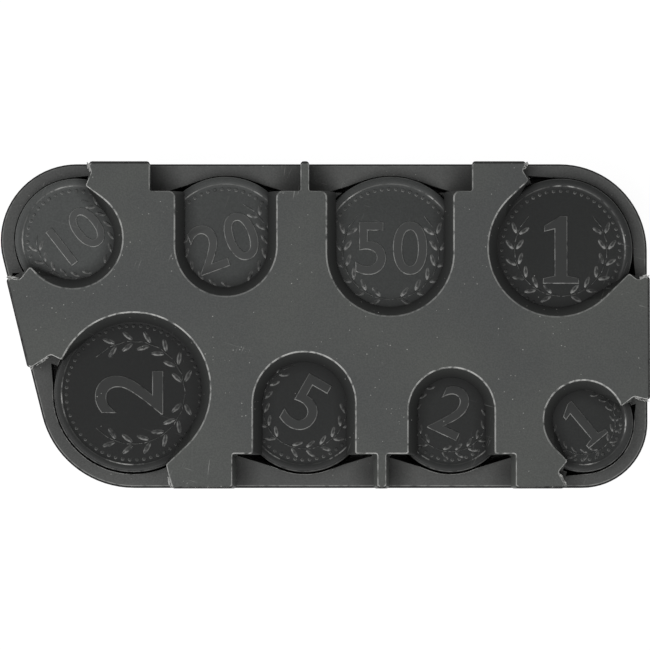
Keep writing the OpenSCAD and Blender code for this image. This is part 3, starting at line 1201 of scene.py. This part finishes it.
@dataclass
class Body:
    """Lower moulding, whose rim shows as the low ledge at each way out.

    Attributes:
        wells: The eight wells by name.
        ledge_z: Height of the ledge.
        rim_r: Rounding of the ledge's outer edge.
        mouth_r: Rounding of the wells' mouths.
        upper_wear_and_glint: Wear and painted highlight of the mouths in the upper row.
        lower_wear_and_glint: Wear and painted highlight of the mouths in the lower row.
        infills: Stretches of the ledge that are carried on up to the discs.
        infill_h: Height of those stretches.
        infill_under: How far they lie below the ledge.
    """

    wells: dict[str, Well]
    ledge_z: float = 14.8
    rim_r: float = 0.45
    mouth_r: float = 0.14
    upper_wear_and_glint: float = 0.1
    lower_wear_and_glint: float = 0.6
    infills: tuple[Infill, ...] = (
        Infill("010", 180.0, 212.0, ((-51.1, 8.55), (-51.1, 13.9))),
        Infill("200", 270.0, 300.0, ((-24.0, -25.3), (-30.8, -25.3))),
    )
    infill_h: float = 3.0
    infill_under: float = 0.012

    def build(self, node: bpy.types.Object, material: bpy.types.Material, slot: str) -> bpy.types.Object:
        """Builds the body on a merged copy of its CAD solid.

        Args:
            node: CAD object of the body.
            material: Material of the body.
            slot: Material slot of the record.

        Returns:
            The finished body.
        """
        piece = Piece.from_node("body_shell", node)
        # The rim's rounding gets wear and a painted highlight on top; its steeper strips get the dark cut
        # colour as painted shade, a dark line along the outer edge.
        for face in piece.bevel(self._rim(piece), self.rim_r * MM, 4, worn=0.25):
            if face.normal.z < 0.93:
                face[piece.worn] = 0.0
                for corner in face.loops:
                    corner[piece.cut] = 1.0
        # The mouths' wear is also a painted highlight, strong in the lower row and faint in the upper
        # row.
        for face in piece.bevel(self._mouths(piece), self.mouth_r * MM, 2):
            upper = face.calc_center_median().y >= 0
            face[piece.worn] = self.upper_wear_and_glint if upper else self.lower_wear_and_glint
        for infill in self.infills:
            self._fill_ledge(piece, infill)
        return piece.finish(material, CASE, slot, "body")

    def _ledge_edges(self, piece: Piece) -> list[tuple[bmesh.types.BMEdge, bmesh.types.BMFace]]:
        """Finds the edges of the ledge.

        Args:
            piece: Piece of the body.

        Returns:
            Each sharp edge at the ledge's height, with the upright wall below it.
        """
        found = []
        for edge in piece.bm.edges:
            level = all(abs(vert.co.z - self.ledge_z * MM) < TINY for vert in edge.verts)
            if level and piece.is_sharp(edge):
                found.append((edge, min(edge.link_faces, key=lambda face: abs(face.normal.z))))
        return found

    def _rim(self, piece: Piece) -> list[bmesh.types.BMEdge]:
        """Finds the outer edge of the ledge, whose wall reaches down to the floor.

        Args:
            piece: Piece of the body.

        Returns:
            Its edges.
        """
        found = self._ledge_edges(piece)
        return [edge for edge, wall in found if min(vert.co.z for vert in wall.verts) < TINY]

    def _mouths(self, piece: Piece) -> list[bmesh.types.BMEdge]:
        """Finds the round mouths of the wells.

        Args:
            piece: Piece of the body.

        Returns:
            Their edges.
        """
        found = []
        for edge, _ in self._ledge_edges(piece):
            spot = edge.verts[0].co.lerp(edge.verts[1].co, 0.5).to_2d() / MM
            if any(abs((spot - well.middle).length - well.wall_r) < 0.06 for well in self.wells.values()):
                found.append(edge)
        return found

    def _fill_ledge(self, piece: Piece, infill: Infill) -> None:
        """Carries the ledge on up to a disc.

        Args:
            piece: Piece of the body.
            infill: The stretch to add.
        """
        well = self.wells[infill.well]
        path = PlanPath()
        path.arc(well.middle, well.wall_r, radians(infill.start), radians(infill.end), 12)
        points = path.trace() + [Vector(point) for point in infill.outer]
        lift = Vector((0, 0, self.ledge_z - self.infill_under))
        verts = [piece.bm.verts.new((point.to_3d() + lift) * MM) for point in points]
        made = bmesh.ops.extrude_face_region(piece.bm, geom=[piece.bm.faces.new(verts)])["geom"]
        low = [item for item in made if isinstance(item, bmesh.types.BMVert)]
        bmesh.ops.translate(piece.bm, verts=low, vec=(0, 0, -self.infill_h * MM))
        new = {face for vert in verts + low for face in vert.link_faces}
        bmesh.ops.recalc_face_normals(piece.bm, faces=list(new))


@dataclass
class SmallSolid:
    """A CAD solid that keeps its shape and gets its sharp edges rounded.

    Attributes:
        name: Name of the piece.
        node: CAD node that it stands for.
        round_r: Rounding of its sharp edges, in millimetres.
    """

    name: str
    node: str
    round_r: float

    def build(self, frame: dict, material: bpy.types.Material, slot: str) -> bpy.types.Object:
        """Builds the piece on a merged copy.

        Args:
            frame: The loaded frame.
            material: Material of the piece.
            slot: Material slot of the record.

        Returns:
            The finished piece.
        """
        piece = Piece.from_node(self.name, frame["nodes"][self.node])
        # The rounding gets wear and a painted highlight, brightest where it faces the front lamp.
        piece.bevel(filter(piece.is_sharp, piece.bm.edges), self.round_r * MM, 2, worn=0.4)
        return piece.finish(material, CASE, slot, self.node)


class DiscPaintedLight(Enum):
    """Painted light of a disc: the same plastic made lighter or darker per disc as the light falls,
    brightest at the upper left, as the level of its colour.
    """

    PALE = 0.05
    LIGHT = 0.0395
    SOFT = 0.03
    MIDDLE = 0.0145
    DARK = 0.0125
    DEEP = 0.0075


class DiscFace(NamedTuple):
    """Generic raised design of one disc: a plain number in a wreath, inside a ring of beads.

    Attributes:
        number: Number that it shows.
        turn: Turn of the whole design, in degrees.
        tone: Level of painted light of the disc.
        exit: Direction of its way out, in degrees.
        rim: How much paler than its face the rim is.
    """

    number: str
    turn: float
    tone: DiscPaintedLight
    exit: float
    rim: float = 0.25


@dataclass
class Pusher:
    """Disc that lifts the coins, with its skirt and its spigot for the spring.

    Attributes:
        well: Well that it slides in.
        face: Its raised design.
        lip: Points along the lip over it, in millimetres.
        top_z: Height of its rim.
        face_z: Height of its face.
        under_z: Height of its underside.
        skirt_z: Height of the skirt's lower edge.
        spigot_z: Height of the spigot's lower end.
        spigot_r: Radius of the spigot.
        rim_w: Width of the rim.
        relief: Height of the raised design.
        sunk: How far the studs reach into the face.
        number_edge: Rounding of the number's edge.
        bold: How much bolder than plain text the digits are.
        one_h: Height of a one, as a share of the radius.
        digit_h: Text size of another single digit.
        pair_h: Text size of two digits.
        glint_from: Where a painted glint on the rim's inner side starts, in degrees from the way out.
        glint_to: Where it ends.
        wreath_r: Radius of the wreath, as a share of the radius.
        wreath_gap: Half of the gap at the foot of the wreath, in degrees.
        wreath_sweep: Reach of each half of the wreath, in degrees.
        leaf_pairs: Pairs of leaves in each half of the wreath.
        leaf_lean: Lean of a leaf off its twig, in degrees.
        leaf_slim: Width of a leaf, as a share of its length.
        twig_w: Width of the twig.
        bead_in: Distance of the beads from the rim.
        bead_gap: Spacing of the beads.
        bead_d: Diameter of a bead.
        painted_shade_w: How far the painted shade under the lip reaches.
    """

    well: Well
    face: DiscFace
    lip: KDTree
    top_z: float = 17.2
    face_z: float = 16.95
    under_z: float = 15.0
    skirt_z: float = 11.8
    spigot_z: float = 13.5
    spigot_r: float = 3.25
    rim_w: float = 1.2
    relief: float = 0.2
    sunk: float = 0.08
    number_edge: float = 0.16
    bold: float = 0.04
    one_h: float = 0.92
    digit_h: float = 1.2
    pair_h: float = 0.98
    glint_from: float = 24.0
    glint_to: float = 54.0
    wreath_r: float = 0.64
    wreath_gap: float = 10.0
    wreath_sweep: float = 118.0
    leaf_pairs: int = 6
    leaf_lean: float = 38.0
    leaf_slim: float = 0.36
    twig_w: float = 0.22
    bead_in: float = 0.85
    bead_gap: float = 1.15
    bead_d: float = 0.7
    painted_shade_w: float = 2.2

    def build(self, material: bpy.types.Material, slot: str) -> bpy.types.Object:
        """Turns the disc and raises its design.

        Args:
            material: Material of the disc.
            slot: Material slot of the record.

        Returns:
            The finished disc.
        """
        name = f"pusher_{self.well.name}"
        piece = Piece(f"disc_{self.well.name}")
        self._turn(piece)
        self._number(piece)
        self._wreath(piece)
        self._beads(piece)
        self._painted_shade(piece)
        return piece.finish(material, name, slot, name)

    def _turn(self, piece: Piece) -> None:
        """Spins the profile of the disc.

        Args:
            piece: Piece of the disc.
        """
        r = self.well.disc_r
        inner = r - self.rim_w
        flat = [(inner * ring / 16, self.face_z) for ring in range(16)]
        profile = flat + [
            (inner - 0.25, self.face_z), (inner - 0.1, self.face_z + 0.05),
            (inner + 0.1, self.top_z - 0.06), (inner + 0.3, self.top_z), (r - 0.4, self.top_z),
            (r - 0.2, self.top_z - 0.06), (r - 0.06, self.top_z - 0.2), (r, self.top_z - 0.4),
            (r, self.skirt_z + 0.15), (r - 0.15, self.skirt_z), (inner + 0.15, self.skirt_z),
            (inner, self.skirt_z + 0.15), (inner, self.under_z - 0.3), (inner - 0.3, self.under_z),
            (self.spigot_r + 0.2, self.under_z), (self.spigot_r, self.under_z - 0.2),
            (self.spigot_r, self.spigot_z + 0.3), (self.spigot_r - 0.3, self.spigot_z),
            (0.0, self.spigot_z),
        ]
        bm = piece.bm
        middle = self.well.middle.to_3d()
        verts = [bm.verts.new((middle + Vector((x, 0, z))) * MM) for x, z in profile]
        edges = [bm.edges.new(pair) for pair in zip(verts, verts[1:])]
        bmesh.ops.spin(
            bm, geom=verts + edges, cent=middle * MM, axis=(0, 0, 1), dvec=(0, 0, 0),
            angle=2 * pi, steps=128, use_merge=True, use_duplicate=False,
        )
        bmesh.ops.remove_doubles(bm, verts=bm.verts[:], dist=TINY)
        bmesh.ops.recalc_face_normals(bm, faces=bm.faces[:])
        self._rim_wear_and_glints(piece)

    def _rim_wear_and_glints(self, piece: Piece) -> None:
        """Marks the rim paler with a little wear and painted highlight, and paints glints on its inner
        side beside the way out.

        Args:
            piece: Piece of the disc.
        """
        r = self.well.disc_r
        for face in piece.bm.faces:
            away = face.calc_center_median().to_2d() / MM - self.well.middle
            if face.normal.z < 0.2 or away.length < r - self.rim_w - 0.12:
                continue
            for corner in face.loops:
                corner[piece.cut] = self.face.rim
            if face.normal.z > 0.9:
                continue
            piece.wear([face], 0.12)
            # Painted glints on the rim's inner side, at each side of the way out.
            swing = abs((degrees(atan2(away.y, away.x)) - self.face.exit + 180.0) % 360.0 - 180.0)
            middle = (self.glint_from + self.glint_to) / 2
            peak = 1.0 - abs(swing - middle) / (self.glint_to - middle)
            if peak > 0.0 and away.length < r - self.rim_w + 0.2:
                face[piece.worn] = max(face[piece.worn], peak ** 0.6)

    def _painted_shade(self, piece: Piece) -> None:
        """Marks painted shade on the disc under and beside the lip, darker the nearer the lip.

        Args:
            piece: Piece of the disc.
        """
        # Painted shade: the disc darkens towards the lip over it.
        for vert in piece.bm.verts:
            away = self.lip.find((vert.co.x / MM, vert.co.y / MM, 0.0))[2]
            for corner in vert.link_loops:
                corner[piece.shade] = max(0.0, 1.0 - away / self.painted_shade_w)

    def _outline_one(self) -> bpy.types.Curve:
        """Draws a plain one with a flag and a foot.

        Returns:
            The flat curve.
        """
        foot, stem, flag = 0.26, 0.085, 0.24
        points = [
            (-foot, -0.5), (foot, -0.5), (foot, -0.44), (stem, -0.4), (stem, 0.5), (0.0, 0.5),
            (-flag, 0.36), (-flag, 0.29), (-stem, 0.33), (-stem, -0.4), (-foot, -0.44),
        ]
        curve = bpy.data.curves.new("number", "CURVE")
        curve.dimensions = "2D"
        curve.fill_mode = "BOTH"
        spline = curve.splines.new("POLY")
        spline.points.add(len(points) - 1)
        spline.use_cyclic_u = True
        size = self.one_h * self.well.coin_r * MM
        for point, (x, y) in zip(spline.points, points):
            point.co = (x * size, y * size, 0.0, 1.0)
        return curve

    def _outline_digits(self) -> bpy.types.Curve:
        """Sets the number in plain digits.

        Returns:
            The flat text.
        """
        size = self.digit_h if len(self.face.number) == 1 else self.pair_h
        curve = bpy.data.curves.new("number", "FONT")
        curve.body = self.face.number
        curve.align_x = "CENTER"
        curve.align_y = "CENTER"
        curve.space_character = 1.06
        curve.size = size * self.well.coin_r * MM
        curve.offset = self.bold * MM
        return curve

    def _number(self, piece: Piece) -> None:
        """Raises the number in the middle of the disc.

        Args:
            piece: Piece of the disc.
        """
        curve = self._outline_one() if self.face.number == "1" else self._outline_digits()
        curve.extrude = (self.relief - self.number_edge) * MM
        curve.bevel_depth = self.number_edge * MM
        curve.bevel_resolution = 1
        holder = bpy.data.objects.new("number", curve)
        bpy.context.scene.collection.objects.link(holder)
        graph = bpy.context.evaluated_depsgraph_get()
        mesh = bpy.data.meshes.new_from_object(holder.evaluated_get(graph))
        mesh.transform(self._spot(0.0, 0.0))
        before = len(piece.bm.faces)
        piece.bm.from_mesh(mesh)
        piece.bm.faces.ensure_lookup_table()
        self._raise(piece, piece.bm.faces[before:])
        bpy.data.objects.remove(holder)
        bpy.data.curves.remove(curve)
        bpy.data.meshes.remove(mesh)

    def _spot(self, radius: float, angle: float) -> Matrix:
        """Gives a place on the face of the disc, turned along with the design.

        Args:
            radius: Distance from the middle, in millimetres.
            angle: Angle round the middle.

        Returns:
            The place in metres, with its X axis outwards.
        """
        middle = Matrix.Translation((self.well.middle.to_3d() + Vector((0, 0, self.face_z))) * MM)
        turn = Matrix.Rotation(radians(self.face.turn) + angle, 4, "Z")
        return middle @ turn @ Matrix.Translation((radius * MM, 0, 0))

    def _raise(self, piece: Piece, faces: Iterable[bmesh.types.BMFace]) -> None:
        """Marks the tops of raised shapes, and wear with painted glints on their edges, brightest where
        they face the front lamp.

        Args:
            piece: Piece of the disc.
            faces: Faces of the shapes.
        """
        for face in faces:
            face.normal_update()
            for corner in face.loops:
                corner[piece.cut] = float(face.normal.z > 0.2)
        piece.wear([face for face in faces if 0.2 < face.normal.z < 0.95], 0.35)

    def _stud(self, piece: Piece, spot: Matrix, length: float, width: float, top: float) -> None:
        """Raises a low stud, such as a leaf or a bead.

        Args:
            piece: Piece of the disc.
            spot: Its place.
            length: Its length along the place's X axis, in millimetres.
            width: Its width, in millimetres.
            top: Size of its top, as a share of its foot.
        """
        rise = self.relief * 0.9
        lift = Matrix.Translation((0, 0, (rise - self.sunk) / 2 * MM))
        shape = lift @ Matrix.Diagonal((length, width, 1, 1))
        made = bmesh.ops.create_cone(
            piece.bm, cap_ends=True, cap_tris=False, segments=10, radius1=0.5 * MM,
            radius2=0.5 * top * MM, depth=(rise + self.sunk) * MM, matrix=spot @ shape,
        )
        self._raise(piece, {face for vert in made["verts"] for face in vert.link_faces})

    def _wreath(self, piece: Piece) -> None:
        """Lays two sprigs of leaves under the number, open at the top.

        Args:
            piece: Piece of the disc.
        """
        ring = self.wreath_r * self.well.coin_r
        step = radians(self.wreath_sweep) / self.leaf_pairs
        length = ring * step * 0.95
        for side in (-1, 1):
            for pair in range(self.leaf_pairs + 1):
                angle = -pi / 2 + side * (radians(self.wreath_gap) + pair * step)
                along = Matrix.Rotation(side * pi / 2, 4, "Z")
                spot = self._spot(ring, angle)
                self._stud(piece, spot @ along, length * 1.15, self.twig_w, 0.5)
                if pair == self.leaf_pairs:
                    continue
                for lean in (-1, 1):
                    tilt = along @ Matrix.Rotation(lean * radians(self.leaf_lean), 4, "Z")
                    leaf = tilt @ Matrix.Translation((length * 0.55 * MM, 0, 0))
                    self._stud(piece, spot @ leaf, length, length * self.leaf_slim, 0.35)

    def _beads(self, piece: Piece) -> None:
        """Sets a ring of beads inside the rim.

        Args:
            piece: Piece of the disc.
        """
        ring = self.well.coin_r - self.rim_w - self.bead_in
        count = int(2 * pi * ring / self.bead_gap)
        for bead in range(count):
            spot = self._spot(ring, 2 * pi * bead / count)
            self._stud(piece, spot, self.bead_d, self.bead_d, 0.55)


@dataclass
class Spring:
    """Helical spring between the base plate and a disc.

    Attributes:
        well: Well that it stands in.
        coil_r: Radius of the coil at the middle of the wire.
        wire_r: Radius of the wire.
        low_z: Height of the wire's middle at its lower end.
        high_z: Height of the wire's middle at its upper end.
        seat_z: Height of the base plate that it stands on; not used.
        turns: Number of climbing turns.
        steps: Steps of the wire in a turn.
        keep: Share of its length that is left when the disc is pressed down; not used.
    """

    well: Well
    coil_r: float = 4.0
    wire_r: float = 0.34
    low_z: float = 1.95
    high_z: float = 14.65
    seat_z: float = 1.6
    turns: int = 4
    steps: int = 32
    keep: float = 0.28

    def build(self, material: bpy.types.Material, slot: str) -> bpy.types.Object:
        """Winds the wire: a flat half turn, the climbing turns and another flat half turn.

        Args:
            material: Material of the wire.
            slot: Material slot of the record.

        Returns:
            The finished spring.
        """
        node = f"spring_{self.well.name}"
        piece = Piece(f"coil_{self.well.name}")
        bm = piece.bm
        middle = self.well.middle.to_3d() * MM
        start = middle + Vector((self.coil_r, 0, self.low_z)) * MM
        stand = Matrix.Translation(start) @ Matrix.Rotation(pi / 2, 4, "X")
        bmesh.ops.create_circle(bm, segments=10, radius=self.wire_r * MM, matrix=stand)
        geom = bm.verts[:] + bm.edges[:]
        climb = (self.high_z - self.low_z) * MM / (self.turns * self.steps)
        for turns, rise in ((0.5, 0.0), (self.turns, climb), (0.5, 0.0)):
            wound = bmesh.ops.spin(
                bm, geom=geom, cent=middle, axis=(0, 0, 1), dvec=(0, 0, rise), angle=2 * pi * turns,
                steps=int(self.steps * turns), use_merge=False, use_duplicate=False,
            )
            geom = wound["geom_last"]
        bmesh.ops.holes_fill(bm, edges=[e for e in bm.edges if e.is_boundary], sides=0)
        bmesh.ops.recalc_face_normals(bm, faces=bm.faces[:])
        coil = piece.finish(material, CASE, slot, node, sharp=60.0)
        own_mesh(coil)
        return coil


class Lamp(NamedTuple):
    """Square soft lamp that faces the object.

    Attributes:
        name: Name of the lamp.
        place: Its place, in metres.
        power: Its power, in watts.
        size: Its side, in metres.
    """

    name: str
    place: tuple[float, float, float]
    power: float
    size: float = 0.4


@dataclass
class Studio:
    """White floor, soft light and the camera of the photograph.

    Attributes:
        eye: Place of the camera, in metres.
        aim: Point that it looks at.
        lens: Focal length, in millimetres.
        lamps: The soft lamps.
        floor_z: Height of the floor, in millimetres.
    """

    eye: tuple[float, float, float] = (0.00016, -0.0268, 0.617)
    aim: tuple[float, float, float] = (0.00016, 0.0, 0.0172)
    lens: float = 205.8
    lamps: tuple[Lamp, ...] = (
        Lamp("front_light", (-0.1, -0.35, 0.7), 3.4),
        Lamp("left_light", (-0.5, 0.05, 0.65), 3.0),
        Lamp("right_light", (0.5, 0.05, 0.65), 0.75),
    )
    floor_z: float = -0.05

    def build(self) -> None:
        """Sets up the stage."""
        bpy.context.scene.view_settings.view_transform = "Standard"
        self._camera()
        self._world()
        self._floor()
        for lamp in self.lamps:
            self._hang(lamp)

    def _camera(self) -> None:
        """Places the camera."""
        data = bpy.data.cameras.new("camera")
        data.lens = self.lens
        data.sensor_width = 36.0
        data.clip_start = 0.01
        camera = bpy.data.objects.new("camera", data)
        camera.location = self.eye
        camera.rotation_euler = (Vector(self.aim) - Vector(self.eye)).to_track_quat("-Z", "Y").to_euler()
        bpy.context.scene.collection.objects.link(camera)
        bpy.context.scene.camera = camera

    @staticmethod
    def _seen(board: NodeBoard) -> bpy.types.NodeSocket:
        """Gives a mask of the rays that see the white surroundings.

        Args:
            board: Board to place the nodes on.

        Returns:
            The socket of the mask.
        """
        rays = board.add("ShaderNodeLightPath").outputs
        mirrored = board.math("MAXIMUM", rays["Is Glossy Ray"], rays["Is Transmission Ray"])
        return board.math("MAXIMUM", rays["Is Camera Ray"], mirrored)

    def _world(self) -> None:
        """Makes the world white where it is seen and a plain soft light elsewhere."""
        world = bpy.data.worlds.new("surroundings")
        bpy.context.scene.world = world
        world.use_nodes = True
        world.node_tree.nodes.clear()
        board = NodeBoard(world.node_tree)
        soft = board.add("ShaderNodeBackground", {"Color": (1.0, 1.0, 1.0, 1.0), "Strength": 0.2})
        white = board.add("ShaderNodeBackground", {"Color": (1.0, 1.0, 1.0, 1.0), "Strength": 1.0})
        inputs = {0: self._seen(board), 1: soft.outputs[0], 2: white.outputs[0]}
        mixed = board.add("ShaderNodeMixShader", inputs)
        board.add("ShaderNodeOutputWorld", {"Surface": mixed.outputs[0]})

    def _paper(self) -> bpy.types.Material:
        """Builds the white of the floor, which keeps the object's shadow and is clear from below.

        Returns:
            The material.
        """
        material, board = NodeBoard.for_material("white_floor")
        matt = board.add("ShaderNodeBsdfDiffuse", {"Color": (0.9, 0.9, 0.9, 1.0)})
        glow = board.add("ShaderNodeEmission", {"Color": (1.0, 1.0, 1.0, 1.0), "Strength": 0.95})
        veil = board.add("ShaderNodeBsdfDiffuse", {"Color": (0.1, 0.1, 0.1, 1.0)})
        white = board.add("ShaderNodeAddShader", {0: glow.outputs[0], 1: veil.outputs[0]})
        inputs = {0: self._seen(board), 1: matt.outputs[0], 2: white.outputs[0]}
        paper = board.add("ShaderNodeMixShader", inputs)
        clear = board.add("ShaderNodeBsdfTransparent")
        below = board.add("ShaderNodeNewGeometry").outputs["Backfacing"]
        sided = board.add("ShaderNodeMixShader", {0: below, 1: paper.outputs[0], 2: clear.outputs[0]})
        board.add("ShaderNodeOutputMaterial", {"Surface": sided.outputs[0]})
        return material

    def _floor(self) -> None:
        """Lays the white floor."""
        bm = bmesh.new()
        bmesh.ops.create_grid(bm, x_segments=1, y_segments=1, size=3.0)
        mesh = bpy.data.meshes.new("floor")
        bm.to_mesh(mesh)
        bm.free()
        mesh.materials.append(self._paper())
        floor = bpy.data.objects.new("floor", mesh)
        floor.location.z = self.floor_z * MM
        bpy.context.scene.collection.objects.link(floor)

    @staticmethod
    def _hang(lamp: Lamp) -> None:
        """Hangs a lamp.

        Args:
            lamp: The lamp.
        """
        data = bpy.data.lights.new(lamp.name, "AREA")
        data.size = lamp.size
        data.energy = lamp.power
        holder = bpy.data.objects.new(lamp.name, data)
        holder.location = lamp.place
        holder.rotation_euler = (-Vector(lamp.place)).to_track_quat("-Z", "Y").to_euler()
        bpy.context.scene.collection.objects.link(holder)


# Each disc's level is painted light, brightest at the upper left and darker to the right and below.
DISC_FACES = {
    "010": DiscFace("10", 38.0, DiscPaintedLight.PALE, 144.0),
    "020": DiscFace("20", 20.0, DiscPaintedLight.LIGHT, 90.0),
    "050": DiscFace("50", 0.0, DiscPaintedLight.SOFT, 90.0),
    "100": DiscFace("1", 0.0, DiscPaintedLight.DARK, 46.0),
    "200": DiscFace("2", 90.0, DiscPaintedLight.DEEP, 224.0, 0.75),
    "005": DiscFace("5", -30.0, DiscPaintedLight.DARK, 270.0),
    "002": DiscFace("2", -25.0, DiscPaintedLight.DARK, 270.0),
    "001": DiscFace("1", 40.0, DiscPaintedLight.MIDDLE, 318.0, 0.6),
}

# The cover's cut colour is also painted shade on the slopes and the outer edge.
COVER_FINISH = MouldedPlastic(
    "cover_abs", "cover_plastic", (0.058, 0.0605, 0.0595), (0.068, 0.071, 0.067),
    cut_and_shade_colour=(0.013, 0.0133, 0.013), dust=0.75,
)
# The body's cut colour is painted shade, on the steep strips of the ledge's rim.
BODY_FINISH = MouldedPlastic(
    "body_abs", "body_plastic", (0.056, 0.057, 0.056), (0.066, 0.067, 0.065),
    cut_and_shade_colour=(0.006, 0.006, 0.006),
)
BASE_FINISH = MouldedPlastic("base_abs", "base_plastic", (0.05, 0.051, 0.05), (0.06, 0.061, 0.06))


def disc_finish(tone: DiscPaintedLight) -> MouldedPlastic:
    """Gives the satin finish of the discs at one level of painted light.

    Args:
        tone: The level.

    Returns:
        The finish.
    """
    level = tone.value
    raised = level + 0.3 * (0.055 - level) + 0.003
    return MouldedPlastic(
        f"disc_abs_{tone.name.lower()}", "pusher_plastic",
        colour=(level * 0.95, level, level * 0.98),
        second=(level * 1.12, level * 1.18, level * 1.15),
        cut_and_shade_colour=(raised, raised * 1.03, raised * 1.01),
        roughness=0.45, grain_depth=0.00001, scuff=0.12, dust=0.1,
    )


SPRING_FINISH = DrawnSteel("spring_wire", "spring_steel", (0.55, 0.56, 0.57), (0.48, 0.49, 0.5))
SCREW_FINISH = DrawnSteel(
    "plated_screw", "screw_steel", (0.5, 0.5, 0.5), (0.42, 0.43, 0.44), roughness=0.38,
)


def main() -> None:
    """Builds the stage and every piece over the frame."""
    logging.basicConfig(level=logging.INFO, format="%(name)s: %(message)s")
    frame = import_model()
    Studio().build()
    effects = Effects()
    wells = {name: Well.from_frame(name) for name in DISC_FACES}
    cover = Cover(wells)
    cover.build(COVER_FINISH.build(effects), COVER_FINISH.slot)
    lip = cover.points(Level.LIP)
    body_finish = replace(BODY_FINISH, corners=cover.ledge_corners())
    Body(wells).build(frame["nodes"]["body"], body_finish.build(effects), body_finish.slot)
    panel = SmallSolid("base_panel", "base_plate", 0.2)
    panel.build(frame, BASE_FINISH.build(effects), BASE_FINISH.slot)
    screws = SmallSolid("case_screw_set", "case_screws", 0.08)
    screws.build(frame, SCREW_FINISH.build(effects), SCREW_FINISH.slot)
    wire = SPRING_FINISH.build(effects)
    finishes = {tone: disc_finish(tone) for tone in DiscPaintedLight}
    skins = {tone: finish.build(effects) for tone, finish in finishes.items()}
    for name, well in wells.items():
        tone = DISC_FACES[name].tone
        Pusher(well, DISC_FACES[name], lip).build(skins[tone], finishes[tone].slot)
        Spring(well).build(wire, SPRING_FINISH.slot)


if __name__ == "__main__":
    main()
